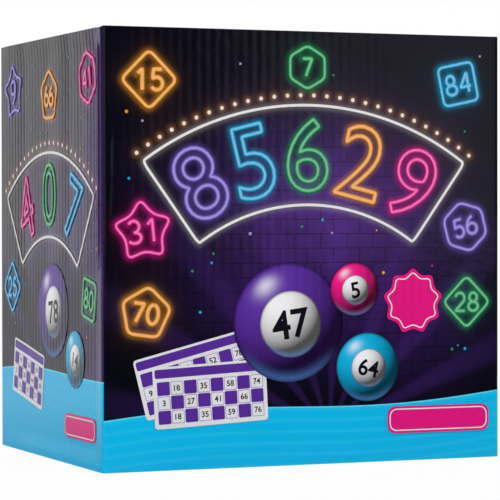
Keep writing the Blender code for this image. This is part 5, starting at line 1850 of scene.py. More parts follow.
@dataclass
class Carton:
    """Printed corrugated carton with its lid, tuck and dust flaps."""

    wall_inner_x: float = WIDTH / 2 - BOARD
    wall_inner_y: float = DEPTH / 2 - BOARD
    tuck_radius: float = 0.014
    dust_length: float = 0.095
    dust_radius: float = 0.012

    def wall_top(self, x: float, y: float) -> float:
        """Height of the wall's cut edge at a place in plan."""
        if y > self.wall_inner_y and abs(x) < self.wall_inner_x:
            return FLAP_TOP
        return HEIGHT if y < -self.wall_inner_y else SIDE_HEIGHT

    def upright(self, loop: Sequence[Point], thickness: float) -> Shape:
        """Closed upright sheet that follows a plan loop up to the cut edge.

        Args:
            loop: The loop in plan, anticlockwise.
            thickness: Thickness that the sheet gains inward.

        Returns:
            The sheet's shape.
        """
        shape = bmesh.new()
        verts = [shape.verts.new((x, y, 0.0)) for x, y in loop]
        for vert in grown(shape, [shape.edges.new((verts[i - 1], verts[i])) for i in range(len(verts))]):
            vert.co.z = self.wall_top(vert.co.x, vert.co.y) - 0.00002
        bmesh.ops.solidify(outward(shape), geom=shape.faces[:], thickness=thickness)
        return shape

    def plan_loop(self, inset: float, radius: float, swing: float = 0.0) -> list[Point]:
        """Loop round the carton's walls.

        Args:
            inset: Distance in from the outer faces.
            radius: Corner radius.
            swing: Half height of the flutes' wave, or zero.

        Returns:
            The loop's points.
        """
        loop = resampled(round_box(WIDTH - 2 * inset, DEPTH - 2 * inset, radius, 6), True, 0.004)
        if inset < BOARD / 2:
            loop = [self.sagged(point, inset) for point in loop]
        if not swing:
            return loop
        ends = loop[1:] + loop[:1]
        length = sum(math.dist(a, b) for a, b in zip(loop, ends))
        count = round(length / FLUTE_PITCH) * 10
        made, travelled = [], 0.0
        for (x0, y0), (x1, y1) in zip(loop, ends):
            span = math.dist((x0, y0), (x1, y1))
            while travelled < span and len(made) < count:
                share, push = travelled / span, swing * math.cos(math.tau * len(made) / 10) / span
                x, y = x0 + (x1 - x0) * share, y0 + (y1 - y0) * share
                made.append((x + (y1 - y0) * push, y - (x1 - x0) * push))
                travelled += length / count
            travelled -= span
        return made

    @staticmethod
    def sagged(point: Point, inset: float) -> Point:
        """Point of a wall's loop where the board has fallen back behind its folds."""
        x, y = point
        share = 1.0 if inset < 0.001 else 0.5
        sag = share * side_fall(y, inset) * (abs(x) > WIDTH / 2 - inset - FOLD_RADIUS)
        return x - math.copysign(sag, x), y

    def build_walls(self) -> None:
        """Board of the four walls under the printed paper."""
        back = self.upright(self.plan_loop(LINER, FOLD_RADIUS - LINER), 0.0001)
        wave = self.plan_loop(BOARD / 2 - MEDIUM / 2, FOLD_RADIUS - BOARD / 2, MEDIUM_SWING - 0.0003)
        inner = self.upright(self.plan_loop(BOARD - LINER, 0.00135), LINER)
        for face in inner.faces:
            face.material_index = int(abs(face.normal.x) > 0.7)
        for word, shape, *finishes in (
            ("paper_back", back, MEDIUM_KRAFT),
            ("medium", self.upright(wave, MEDIUM), MEDIUM_KRAFT),
            ("liner", inner, WALL_KRAFT_X, WALL_KRAFT_Y),
        ):
            new_piece(f"wall_{word}", shape, finishes, ["carton_sleeve"])

    def build_lid(self) -> None:
        """Lid panel with its art."""
        lid_design().build()
        outline = [(-LID_SIDE, LID_FRONT), (LID_SIDE, LID_FRONT), (LID_SIDE, LID_REAR), (-LID_SIDE, LID_REAR)]
        CorrugatedSheet("lid", "lid_panel", outline, at(0, 0, LID_TOP)).build(None, WALL_KRAFT_X)

    def build_tuck(self) -> None:
        """Tuck that goes behind the front wall."""
        radius, drop = self.tuck_radius, BOARD * math.sin(TUCK_LEAN)
        corners = bow(TUCK_SIDE - radius, -TUCK_LENGTH + radius, radius, radius, -90, 0, 6)
        outline = [(TUCK_SIDE, -drop), (-TUCK_SIDE, -drop)] + [(-x, y) for x, y in reversed(corners)] + corners
        place = at(0, LID_FRONT, TUCK_FOLD_Z) @ Matrix.Rotation(math.radians(90) + TUCK_LEAN, 4, "X")
        CorrugatedSheet("tuck", "tuck_flap", outline, place).build(NIGHT_INK, WALL_KRAFT_X)

    def build_dust_flaps(self) -> None:
        """Side flaps under the lid."""
        front, rear = -self.wall_inner_y + 0.0105, self.wall_inner_y - 0.009
        radius = self.dust_radius
        middle = self.dust_length - radius
        outline = [(0.0, rear), (0.0, front)] + bow(middle, front + 0.010 + radius, radius, radius, -90, 0, 5)
        outline += bow(middle, rear - 0.041 - radius, radius, radius, 0, 90, 5)
        for side, sign in (("left", -1), ("right", 1)):
            flipped = [(-sign * x, y) for x, y in outline][::-sign]
            place = at(sign * FLAP_FOLD_X, 0, FLAP_TOP)
            sheet = CorrugatedSheet(f"dust_{side}", f"dust_flap_{side}", flipped, place, swap=True)
            sheet.build(WHITE_PAPER, WALL_KRAFT_Y)

    def build(self) -> None:
        """Builds every piece of the carton."""
        self.build_walls()
        for design in (front_design(), side_design(LEFT_FACE, False), side_design(RIGHT_FACE, True), rear_design()):
            design.build()
        self.build_lid()
        self.build_tuck()
        self.build_dust_flaps()


# Contents
@dataclass(frozen=True)
class Plastic(Finish):
    """Moulded plastic or rubber: a fine cast grain, faint flow marks and handling scuffs."""

    colour: Colour
    rough: float
    grain: float = 0.000012
    grain_scale: float = 1400.0

    def build(self) -> bpy.types.Material:
        """Makes the plastic's node tree."""
        graph = Graph(self.name)
        fine = graph.noise(self.grain_scale, 3.0)
        dark = tuple(0.82 * c for c in self.colour)
        colour = graph.mix(graph.times(graph.noise(22.0, 3.0), 0.30), self.colour, dark)
        scuff = graph.step(graph.noise(240.0, 4.0, graph.stretched((1.0, 0.22, 1.0), (0.4, 0.3, 0.5))), 0.60, 0.78)
        rough = graph.line(fine, 0.06, graph.line(scuff, 0.14, self.rough))
        normal = graph.bump(graph.noise(90.0, 1.0), self.grain * 1.5, graph.bump(fine, self.grain))
        return graph.finish(colour, Roughness=rough, Normal=normal)


@dataclass(frozen=True)
class LitStroke(Finish):
    """Pink light that comes through a milky stroke."""

    colour: Colour = (0.83, 0.012, 0.23)

    def build(self) -> bpy.types.Material:
        """Makes the stroke's node tree."""
        graph = Graph(self.name)
        colour = graph.mix(graph.times(graph.noise(75.0), 0.35), self.colour, (0.95, 0.16, 0.42))
        normal = graph.bump(graph.noise(1100.0), 0.000006)
        return graph.finish(colour, Emission_Color=colour, Emission_Strength=0.35, Roughness=0.32, Normal=normal)


@dataclass(frozen=True)
class Metal(Finish):
    """Drawn or plated metal with fine lines along one axis."""

    colour: Colour = (0.60, 0.60, 0.59)
    rough: float = 0.26
    stretch: Place = (1.0, 1.0, 0.05)

    def build(self) -> bpy.types.Material:
        """Makes the metal's node tree."""
        graph = Graph(self.name)
        lines = graph.noise(2600.0, 3.0, graph.stretched(self.stretch))
        stain = graph.noise(130.0, 4.0)
        colour = graph.mix(graph.times(stain, 0.45), self.colour, tuple(0.72 * c for c in self.colour))
        rough = graph.line(stain, 0.20, self.rough - 0.06)
        return graph.finish(colour, Metallic=1.0, Roughness=rough, Normal=graph.bump(lines, 0.000008))


@dataclass(frozen=True)
class CircuitLacquer(Finish):
    """Green lacquer over copper tracks, with tinned pads, on an upright board."""

    def build(self) -> bpy.types.Material:
        """Makes the lacquer's node tree."""
        graph = Graph(self.name)
        flat = graph.add("CombineXYZ", {0: graph.along((1, 0, 0)), 1: graph.along(UP)}).outputs[0]
        bricks = {"Vector": flat, "Scale": 1.0, "Mortar Size": 0.00028, "Mortar Smooth": 0.3}
        bricks.update({"Brick Width": 0.0115, "Row Height": 0.0031})
        rows = dict(offset=0.37, offset_frequency=3, squash=0.6, squash_frequency=4)
        tracks = graph.add("TexBrick", bricks, **rows).outputs["Fac"]
        track = graph.times(tracks, graph.step(graph.noise(95.0, 1.0, flat), 0.42, 0.46))
        cells = graph.add("TexVoronoi", {"Vector": flat, "Scale": 185.0, "Randomness": 0.55}).outputs["Distance"]
        ring = graph.step(cells, 0.13, 0.11)
        colour = graph.mix(graph.times(graph.noise(40.0), 0.4), (0.012, 0.155, 0.055), (0.008, 0.105, 0.040))
        colour = graph.mix(graph.times(track, 0.85), colour, (0.060, 0.310, 0.115))
        colour = graph.mix(ring, colour, (0.56, 0.57, 0.55))
        # Near-black dot in the middle of each pad: painted shade of a drilled hole that is not cut
        colour = graph.mix(graph.step(cells, 0.055, 0.045), colour, (0.02, 0.02, 0.02))
        return graph.finish(colour, Roughness=0.30, Normal=graph.bump(graph.math("MAXIMUM", track, ring), 0.00004))


@dataclass(frozen=True)
class CellWrap(Finish):
    """Shrunk sleeve of a dry cell: a dark body with one bright band, from the cell's own ends."""

    start: float
    end: float

    def build(self) -> bpy.types.Material:
        """Makes the sleeve's node tree."""
        graph = Graph(self.name)
        share = graph.math("DIVIDE", graph.math("SUBTRACT", graph.along((0, 1, 0)), self.start), self.end - self.start)
        line = graph.times(graph.step(share, 0.705, 0.710), graph.step(share, 0.725, 0.720))
        colour = graph.mix(graph.step(share, 0.735, 0.745), (0.018, 0.018, 0.022), (0.52, 0.27, 0.075))
        metal = graph.step(share, 0.984, 0.986)
        colour = graph.mix(metal, graph.mix(line, colour, (0.62, 0.62, 0.62)), (0.58, 0.58, 0.57))
        rough = graph.line(graph.noise(300.0, 3.0), 0.12, 0.20)
        normal = graph.bump(graph.noise(420.0, 2.0, graph.stretched((1.0, 0.15, 1.0))), 0.00003)
        return graph.finish(colour, Metallic=metal, Roughness=rough, Normal=normal)


PURPLE_GLOSS = Plastic("purple_gloss", "purple_shell", (0.098, 0.027, 0.335), 0.13, 0.000004, 700.0)
WHITE_MATT = Plastic("white_matt", "white_plastic", (0.80, 0.80, 0.785), 0.38)
MILKY_WHITE = Plastic("milky_white", "white_plastic", (0.66, 0.655, 0.66), 0.30, 0.000006)
DARK_GRAIN = Plastic("dark_grain", "dark_plastic", (0.020, 0.020, 0.024), 0.46, 0.00002, 1100.0)
CHIP_RESIN = Plastic("chip_resin", "dark_plastic", (0.022, 0.022, 0.024), 0.62, 0.00002, 2600.0)
SOFT_RUBBER = Plastic("soft_rubber", "rubber", (0.026, 0.026, 0.027), 0.80, 0.00002, 1800.0)
CONE_FELT = Plastic("cone_felt", "cone_paper", (0.045, 0.043, 0.042), 0.88, 0.00005, 950.0)
RED_WIRE = Plastic("red_wire", "wire", (0.46, 0.012, 0.014), 0.42, 0.000008)
BLACK_WIRE = Plastic("black_wire", "wire", (0.016, 0.016, 0.018), 0.42, 0.000008)
PLAIN_STEEL = Metal("plain_steel", "steel")
SPRING_STEEL = Metal("spring_steel", "steel", (0.66, 0.65, 0.63), 0.20, (1.0, 1.0, 1.0))
LACQUER = CircuitLacquer("circuit_lacquer", "circuit_board")
PINK_GLOW = LitStroke("pink_glow", "pink_light")

FACING_FRONT = Matrix.Rotation(math.radians(90), 4, "X")
FACING_REAR = Matrix.Rotation(math.radians(-90), 4, "X")
CALLER = Matrix.Translation(BALL_CENTRE)
BOARD_POSTS = tuple((x, 0.0) for x in about(0, BOARD_POST_X))
DISPLAY_POSTS = tuple((x, 0.0) for x in about(0, DISPLAY_POST_X))
KEYS = tuple((x, KEY_Z) for x in about(0, KEY_X))


def dress(finish: Finish, *names: str) -> None:
    """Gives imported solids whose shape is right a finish."""
    for name in names:
        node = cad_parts[name]
        if not node.material_slots:
            node.data.materials.append(None)
        for place in node.material_slots:
            place.material = finish.material()
        LOG.info("%s: kept, dressed in %s", name, finish.name)


def stand_in(
    node: str, source: Union[Mesh, Shape], *finishes: Finish, place: Matrix = Matrix(), body: str = "carton",
    word: str = "shape", smooth: float = 40.0,
) -> Piece:
    """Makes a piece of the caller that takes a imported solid's place.

    Args:
        node: The solid's node.
        source: Its mesh or shape, in its own space.
        finishes: One finish for each material slot.
        place: Takes it to the caller's space, whose origin is the ball's centre.
        body: Body that it rides on.
        word: Word that ends the piece's name.
        smooth: Angle in degrees below which edges are shaded smooth.

    Returns:
        The piece.
    """
    mesh = as_mesh(source) if isinstance(source, Shape) else source
    mesh.transform(CALLER @ place)
    return new_piece(f"{node}_{word}", mesh, finishes, [node], body, smooth=smooth)


def rods(radius: float, start: float, end: float, places: Iterable[Point], sides: int = 20) -> Shape:
    """Round rods along Y between two distances, at places of X and Z, in one shape."""
    return joined(*(rod(radius, (x, start, z), (x, end, z), sides) for x, z in places))


@dataclass(frozen=True)
class Screw:
    """Pan-head screw with a cross in its head and ridges on its shank."""

    reach: float
    head_height: float = 0.0020
    head: float = 0.0028
    shank: float = 0.0012

    def build(self) -> Mesh:
        """Screw with its seat at height zero, its head up."""
        top = self.head_height * 0.45
        profile = [(0.0, self.head_height)]
        for angle in map(math.radians, (20, 40, 60, 78, 90)):
            profile.append((self.head * math.sin(angle), top + (self.head_height - top) * math.cos(angle)))
        profile += [(self.head, 0.0), (self.shank, 0.0)]
        for i in range(int((self.reach - 0.0012) / 0.0008)):
            height = -0.0004 - 0.0008 * i
            profile += [(self.shank * 0.80, height), (self.shank, height - 0.0004)]
        profile += [(self.shank * 0.6, -self.reach + 0.0004), (0.0, -self.reach)]
        arm, width, depth = about(0, self.head * 0.62), about(0, 0.0004), (top, self.head_height + 0.001)
        return cut_shape(turned_shape(profile, 32), box_shape(arm, width, depth), box_shape(width, arm, depth))

    def drive(self, name: str, places: Iterable[Place], turn: Matrix) -> None:
        """Makes numbered screws of this kind in the caller.

        Args:
            name: Name of their nodes before the number.
            places: Places of their seats.
            turn: Turns them from head up.
        """
        for number, place in enumerate(places, 1):
            stand_in(f"{name}_{number}", self.build(), PLAIN_STEEL, place=at(*place) @ turn)


@dataclass
class CallerShells:
    """Two glossy halves of the ball, with the window, the button's bore and the inner posts."""

    facet: float = 0.055
    base: float = 0.074
    bore: float = 0.0285
    steps: int = 128
    boss_x: float = 0.064
    boss_z: float = 0.022
    boss_radius: float = 0.0045

    @property
    def bosses(self) -> list[Point]:
        """Places of the four screw columns, as X and Z."""
        return [(x, z) for x in about(0, self.boss_x) for z in about(0, self.boss_z)]

    def half(self, flat: bool) -> Shape:
        """Half shell about its own Z, open below.

        Args:
            flat: Whether its pole is cut to the flat face.

        Returns:
            The closed wall.
        """
        walls = []
        for radius, facet, steps in ((BALL_RADIUS, self.facet, 26), (BALL_INNER, self.facet - BALL_WALL, 22)):
            start, end = (math.degrees(math.asin(height / radius)) for height in (CLEARANCE / 2, facet))
            walls.append(bow(0, 0, radius, radius, start, end if flat else 90.0, steps))
        outer, inner = walls[0], walls[1][::-1]
        if flat:
            rim_s, rim_t = outer.pop()
            outer += [(rim_s + 0.00025, rim_t - 0.00035), (rim_s - 0.0005, rim_t)]
            profile = outer + [(0, self.facet), (0, self.facet - BALL_WALL)] + inner
        else:
            profile = outer[:-1] + [(0, BALL_RADIUS), (0, BALL_INNER)] + inner[1:]
        return turned_shape(profile + profile[:1], self.steps)

    @staticmethod
    def columns(sign: float, start: float, radius: float, places: Sequence[Point]) -> Shape:
        """Columns that end inside the shell's wall.

        Args:
            sign: Side of the seam that they stand on.
            start: Distance of their free ends from the seam.
            radius: Their radius.
            places: Their places, as X and Z.

        Returns:
            All the columns in one shape.
        """
        trim = BALL_RADIUS - BALL_WALL / 2
        shape = rods(radius, sign * start, sign * trim, places, 24)
        for vert in shape.verts:
            if abs(vert.co.y) > trim - 1e-6:
                vert.co.y = sign * on_ball(trim, math.hypot(vert.co.x, vert.co.z))
        return shape

    def common_cuts(self) -> list[Shape]:
        """Flat base and the call button's bore."""
        wide = 2 * BALL_RADIUS
        base = box_shape(about(0, wide), about(0, wide), (-wide, -self.base))
        return [base, rod(self.bore, (0, 0, CARRIER_TOP), (0, 0, wide), 96)]

    def build_front(self) -> None:
        """Front half, with its flat face and window."""
        front = cut_shape(
            placed(self.half(True), FACING_FRONT),
            ("UNION", self.columns(-1, CLEARANCE / 2, self.boss_radius, self.bosses)),
            ("UNION", rods(0.0028, -0.0420, BALL_WALL / 2 - self.facet, DISPLAY_POSTS, 24)),
            *self.common_cuts(),
            placed(plate_shape(round_box(0.096, 0.104, 0.016, 10), 0.040, 0.070), FACING_FRONT),
            rods(SCREW_HOLE, 0.002, -0.0086, self.bosses),
            rods(SCREW_HOLE, -0.0400, BALL_WALL - self.facet, DISPLAY_POSTS),
        )
        stand_in("front_shell", front, PURPLE_GLOSS, smooth=30.0)

    def build_rear(self) -> None:
        """Rear half, with the holes for the screws, the keys and the knob."""
        rear = cut_shape(
            placed(self.half(False), FACING_REAR),
            ("UNION", self.columns(1, CLEARANCE / 2, self.boss_radius, self.bosses)),
            ("UNION", self.columns(1, 0.0619, 0.0026, BOARD_POSTS)),
            *self.common_cuts(),
            rods(0.0032, 0.0100, 0.095, self.bosses),
            rods(SCREW_HOLE, -0.002, 0.012, self.bosses),
            rods(SCREW_HOLE, 0.060, 0.0696, BOARD_POSTS),
            rods(0.0055, 0.0616, 0.095, KEYS, 48),
            box_shape(about(0, 0.0068), (0.060, 0.090), (-0.0163, -0.0117), 0.0006),
        )
        stand_in("rear_shell", rear, PURPLE_GLOSS, smooth=30.0)

    def build(self) -> None:
        """Makes both halves and their screws."""
        self.build_front()
        self.build_rear()
        Screw(0.018).drive("shell_screw", [(x, 0.0103, z) for x, z in self.bosses], FACING_REAR)


@dataclass
class Display:
    """White face with two digits of seven strokes, their light baffle and board of lamps."""

    number: str = "47"
    spacing: float = 0.041
    digit_width: float = 0.026
    digit_height: float = 0.062
    stroke: float = 0.0075
    joint: float = 0.0012
    face_front: float = 0.0560
    plate: Point = (0.0510, 0.0525)
    board: Point = (0.0408, 0.0424)

    def bar(self, half: float) -> list[Point]:
        """Outline of a lying stroke about the origin, pointed at both ends."""
        near, reach = half - self.stroke / 2, self.stroke / 2
        return [(-half, 0), (-near, -reach), (near, -reach), (half, 0), (near, reach), (-near, reach)]

    def outlines(self) -> list[tuple[list[Point], bool]]:
        """Outline of each stroke and whether it is lit.

        Strokes go lower bar, middle bar, upper bar, then the left pair and the right pair.
        """
        lit = {"4": (0, 1, 0, 0, 1, 1, 1), "7": (0, 0, 1, 0, 0, 1, 1)}
        half_w, half_h = self.digit_width / 2, self.digit_height / 2
        strokes = [(0.0, y, 0.0, half_w) for y in (-half_h, 0.0, half_h)]
        strokes += [(x, y, 90.0, half_h / 2) for x in about(0, half_w) for y in about(0, half_h / 2)]
        return [
            (moved(self.bar(half - self.joint), middle + x, y, turn), bool(on))
            for digit, middle in zip(self.number, about(0, self.spacing / 2))
            for (x, y, turn, half), on in zip(strokes, lit[digit])
        ]

    def build_strokes(self) -> None:
        """Lit and unlit strokes, on the diffuser's plate."""
        low, high = self.plate
        for on, word, finish in ((True, "lit", PINK_GLOW), (False, "unlit", MILKY_WHITE)):
            shapes = []
            for points in (points for points, lit in self.outlines() if lit == on):
                shape = plate_shape(points, low + 0.0005, self.face_front - CLEARANCE)
                top = [e for e in shape.edges if all(v.co.z > self.face_front - 0.0005 for v in e.verts)]
                shapes.append(eased(shape, top, 0.0003))
            name = f"{word}_strokes"
            stand_in("segment_diffuser", joined(*shapes), finish, place=FACING_FRONT, word=name, smooth=30.0)
        plate = plate_shape(round_box(0.100, 0.108, 0.018, 10), low, high)
        stand_in("segment_diffuser", plate, MILKY_WHITE, place=FACING_FRONT, word="plate")

    def build_lamp_board(self) -> None:
        """Board with a small lamp under each stroke, and its two screws."""
        back, front = self.board
        plate = plate_shape(round_box(0.116, 0.100, 0.012, 6), back, front)
        holes = (rod(SCREW_HOLE, (x, y, back - 0.001), (x, y, front + 0.001), 20) for x, y in DISPLAY_POSTS)
        lamps, domes, chips = [], [], []
        for points, _ in self.outlines():
            x, y = np.mean(points, axis=0)
            lamps.append(box_shape(about(x, 0.002), about(y, 0.002), (front, front + 0.0017), 0.0002))
            dome = turned_shape([(0.0014, 0.0)] + bow(0, 0, 0.0014, 0.0011, 15, 90, 5), 20)
            domes.append(placed(dome, at(x, y, front + 0.0017)))
        draw = random.Random(5)
        for i in range(10):
            x, y = -0.045 + 0.010 * i, draw.choice((-0.043, 0.043))
            chips.append(box_shape(about(x, 0.001), about(y, 0.0006), (front, front + 0.0007), 0.0001))
        for source, finish, word in (
            (cut_shape(plate, joined(*holes)), LACQUER, "plate"),
            (joined(*lamps), WHITE_MATT, "lamps"),
            (joined(*domes), PINK_GLOW, "domes"),
            (joined(*chips), CHIP_RESIN, "resistors"),
        ):
            stand_in("led_board", source, finish, place=FACING_FRONT, word=word)
        Screw(0.0096).drive("display_screw", [(x, CLEARANCE - back, 0) for x, _ in DISPLAY_POSTS], FACING_REAR)

    def build(self) -> None:
        """Makes the strokes and the lamps' board, and dresses the moulded parts."""
        self.build_strokes()
        dress(WHITE_MATT, "display_face", "light_baffle")
        self.build_lamp_board()


@dataclass
class CallTop:
    """Call button with its sound holes, coil and switch, over the loudspeaker on its carrier."""

    radius: float = 0.028
    wall: float = 0.0018
    flange: float = 0.0305
    flange_inner: float = 0.0235
    switch_y: float = 0.0195
    travel: float = 0.0020
    seat: float = CARRIER_TOP + CLEARANCE

    @property
    def flange_top(self) -> float:
        """Height of the cap's flange."""
        return on_ball(BALL_INNER, self.flange) - 0.0007

    def build_cap(self) -> None:
        """Round cap of the call button."""
        top, inner = self.flange_top, self.radius - self.wall
        low = top - 0.0012
        edge = math.degrees(math.acos(self.radius / BALL_RADIUS)) + 0.6
        profile = [(0.0, BALL_RADIUS)] + bow(0, 0, BALL_RADIUS, BALL_RADIUS, 90, edge, 12)[1:]
        profile += [(self.radius, on_ball(BALL_RADIUS, self.radius) - 0.0006), (self.radius, top)]
        profile += [(self.flange, top), (self.flange, low), (self.flange_inner, low), (self.flange_inner, top)]
        edge = math.degrees(math.acos(inner / BALL_INNER))
        profile += [(inner, top)] + bow(0, 0, BALL_INNER, BALL_INNER, edge, 90, 8)[:-1] + [(0.0, BALL_INNER)]
        peg_low = self.seat + 0.0035 + 0.0014 + 0.0020 + CLEARANCE
        peg_high = on_ball(BALL_INNER, self.switch_y) + 0.0007
        peg = rod(0.0018, (0, self.switch_y, peg_low), (0, self.switch_y, peg_high), 24)
        holes = [
            rod(0.0015, (x, y, peg_low), (x, y, 0.095), 20)
            for ring in range(3)
            for x, y in polygon(6 * ring or 1, 0.008 * ring, turn=0.0)
        ]
        cap = cut_shape(turned_shape(profile), ("UNION", peg), joined(*holes))
        stand_in("call_button", cap, PURPLE_GLOSS, body="call_cap", smooth=30.0)

    def build_spring_and_switch(self) -> None:
        """Coil under the cap and the switch under its peg."""
        low, high = self.seat + 0.0006, self.flange_top - 0.0012 - CLEARANCE - 0.0006
        piece = stand_in("call_button_spring", tube_along(coil(0.0248, 0.0248, low, high), 0.0006), SPRING_STEEL)
        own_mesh(piece)
        base, y = self.seat, self.switch_y
        body = box_shape(about(0, 0.003), about(y, 0.003), (base, base + 0.0031), 0.0002)
        lid = box_shape(about(0, 0.0029), about(y, 0.0029), (base + 0.0031, base + 0.0035), 0.0001)
        plunger = rod(0.0017, (0, y, base + 0.0030), (0, y, base + 0.0049))
        stand_in("call_switch", joined(body, coloured(lid, 1), plunger), DARK_GRAIN, PLAIN_STEEL)

    def build_loudspeaker(self) -> None:
        """Loudspeaker in the hole of its carrier disc."""
        rim, low = on_ball(BALL_INNER, CARRIER_TOP) - 0.0009, CARRIER_TOP - 0.0025
        profile = [(rim, CARRIER_TOP), (rim, low), (0.0128, low), (0.0128, CARRIER_TOP), (rim, CARRIER_TOP)]
        flat = box_shape(about(0, 0.2), (-0.2, 0.0009 - 0.0528), (0, 0.2))
        stand_in("speaker_carrier", cut_shape(turned_shape(profile), flat), DARK_GRAIN)
        seat, flange = self.seat, self.seat + 0.0012
        back = flange - 0.0085
        profile = [(0.0, back + 0.0008), (0.0067, back + 0.0008), (0.0112, flange), (0.0145, flange)]
        profile += [(0.0145, seat), (0.0120, seat), (0.0075, back), (0.0, back)]
        stand_in("speaker_basket", turned_shape(profile, 72), PLAIN_STEEL)
        top = back - CLEARANCE
        low = top - 0.0047
        profile = [(0.0, top), (0.0081, top), (0.0085, top - 0.0004), (0.0085, top - 0.0032)]
        profile += [(0.0080, top - 0.0033), (0.0080, top - 0.0036), (0.0085, top - 0.0037)]
        profile += [(0.0085, low + 0.0003), (0.0082, low), (0.0, low)]
        stand_in("speaker_magnet", turned_shape(profile, 64), DARK_GRAIN)
        low = flange + CLEARANCE
        high = low + 0.0006
        centre = high - 0.0052
        profile = [(0.0140, low), (0.0140, high)] + bow(0.0122, high - 0.0002, 0.0014, 0.0009, 0, 180, 8)
        profile += bow(0.0, centre, 0.0035, 0.0016, 0, 90, 6)
        profile += [(0.0, centre - 0.0006), (0.0035, centre - 0.0006), (0.0107, low), (0.0140, low)]
        stand_in("speaker_cone", turned_shape(profile, 72), CONE_FELT)

    def build(self) -> None:
        """Makes the button and the loudspeaker."""
        self.build_cap()
        self.build_spring_and_switch()
        self.build_loudspeaker()


@dataclass
class RearControls:
    """Main board with its sound chip, the two small keys and the slide switch."""

    board: float = 0.0600
    face: float = 0.0616
    power_z: float = -0.014

    def build_board(self) -> None:
        """Board, its chip with pins, small parts and its screws."""
        board = self.board
        plate = placed(plate_shape(round_box(0.076, 0.056, 0.003, 5), board, self.face), FACING_REAR)
        plate = cut_shape(plate, rods(SCREW_HOLE, 0.058, 0.064, BOARD_POSTS))
        stand_in("main_board", plate, LACQUER, word="plate")
        chip = box_shape((-0.010, 0.002), (board - 0.0018, board - 0.0003), about(0, 0.006), 0.0003)
        dot = rod(0.0006, (-0.0088, board - 0.0019, 0.0048), (-0.0088, board - 0.00175, 0.0048), 20)
        pins = [
            box_shape(ends, (board - 0.0009, board - 0.0001), about(0.0010 * i - 0.0045, 0.0002))
            for i in range(10)
            for ends in ((-0.0113, -0.0099), (0.0019, 0.0033))
        ]
        chip = joined(chip, dot, coloured(joined(*pins), 1))
        stand_in("main_board", chip, CHIP_RESIN, PLAIN_STEEL, word="chip")
        draw = random.Random(9)
        parts = []
        for _ in range(18):
            x, z = draw.uniform(-0.034, 0.034), draw.choice((-0.0255, -0.0115, 0.0100, 0.0165, 0.0255))
            parts.append(box_shape(about(x, 0.0011), (board - 0.0008, board), about(z, 0.0006), 0.0001))
        cans = rods(0.0026, board - 0.0018, board, ((-0.030, -0.019), (0.029, -0.019)), 40)
        stand_in("main_board", joined(*parts, coloured(cans, 1)), CHIP_RESIN, PLAIN_STEEL, word="parts")
        Screw(0.0090).drive("board_screw", [(x, board - CLEARANCE, z) for x, z in BOARD_POSTS], FACING_FRONT)

    def build_keys(self) -> None:
        """Rubber keypad and the two small buttons over its domes."""
        base = self.face + CLEARANCE
        sheet = box_shape(about(0, 0.022), (base, base + 0.0010), about(KEY_Z, 0.008), 0.0003)
        dome = [(0.0040, 0.0), (0.0040, 0.0006), (0.0036, 0.0012), (0.0026, 0.0018), (0.0022, 0.0021), (0.0, 0.0021)]
        domes = [placed(turned_shape(dome, 40), at(x, base + 0.0005, z) @ FACING_REAR) for x, z in KEYS]
        stand_in("key_membrane", joined(sheet, *domes), SOFT_RUBBER)
        surface = on_ball(BALL_RADIUS, math.hypot(KEY_X, KEY_Z))
        outer, seat = surface + 0.0015, surface - BALL_WALL - 0.0035
        low = base + 0.0010 + 0.0016 + 0.0012 + CLEARANCE
        profile = [(0.0, outer)] + bow(0.0042, outer - 0.0008, 0.0008, 0.0008, 90, 0, 5)
        profile += [(0.0050, seat), (0.0066, seat), (0.0066, seat - 0.0012)]
        profile += [(0.0028, seat - 0.0012), (0.0028, low), (0.0, low)]
        for name, (x, z) in zip(("repeat", "new_game"), KEYS):
            cap, place = turned_shape(profile, 56), at(x, 0, z) @ FACING_REAR
            stand_in(f"{name}_button", cap, WHITE_MATT, place=place, body=f"{name}_key")

    def build_switch(self) -> None:
        """Slide switch and its knob."""
        base, z = self.face + CLEARANCE, self.power_z
        top = base + 0.0050
        body = box_shape(about(0, 0.010), (base, top - 0.0004), about(z, 0.0035), 0.0002)
        lid = box_shape(about(0, 0.010), (top - 0.0006, top), about(z, 0.0035), 0.0002)
        stand_in("power_switch", joined(body, coloured(lid, 1)), DARK_GRAIN, PLAIN_STEEL)
        foot, left = top + CLEARANCE, -0.004
        outer = on_ball(BALL_RADIUS, abs(z)) + 0.0018
        plate = box_shape(about(left, 0.0035), (foot, foot + 0.0016), about(z, 0.0025), 0.0002)
        stem = box_shape(about(left, 0.002), (foot + 0.0008, outer), about(z, 0.0015), 0.0004)
        ribs = [
            box_shape(about(left + x, 0.0002), (outer - 0.0007, outer + 0.0001), about(z, 0.0014), 0.0001)
            for x in (-0.0011, 0.0, 0.0011)
        ]
        stand_in("power_knob", joined(plate, stem, *ribs), DARK_GRAIN, body="power_slider")

    def build(self) -> None:
        """Makes the board and its controls."""
        self.build_board()
        self.build_keys()
        self.build_switch()


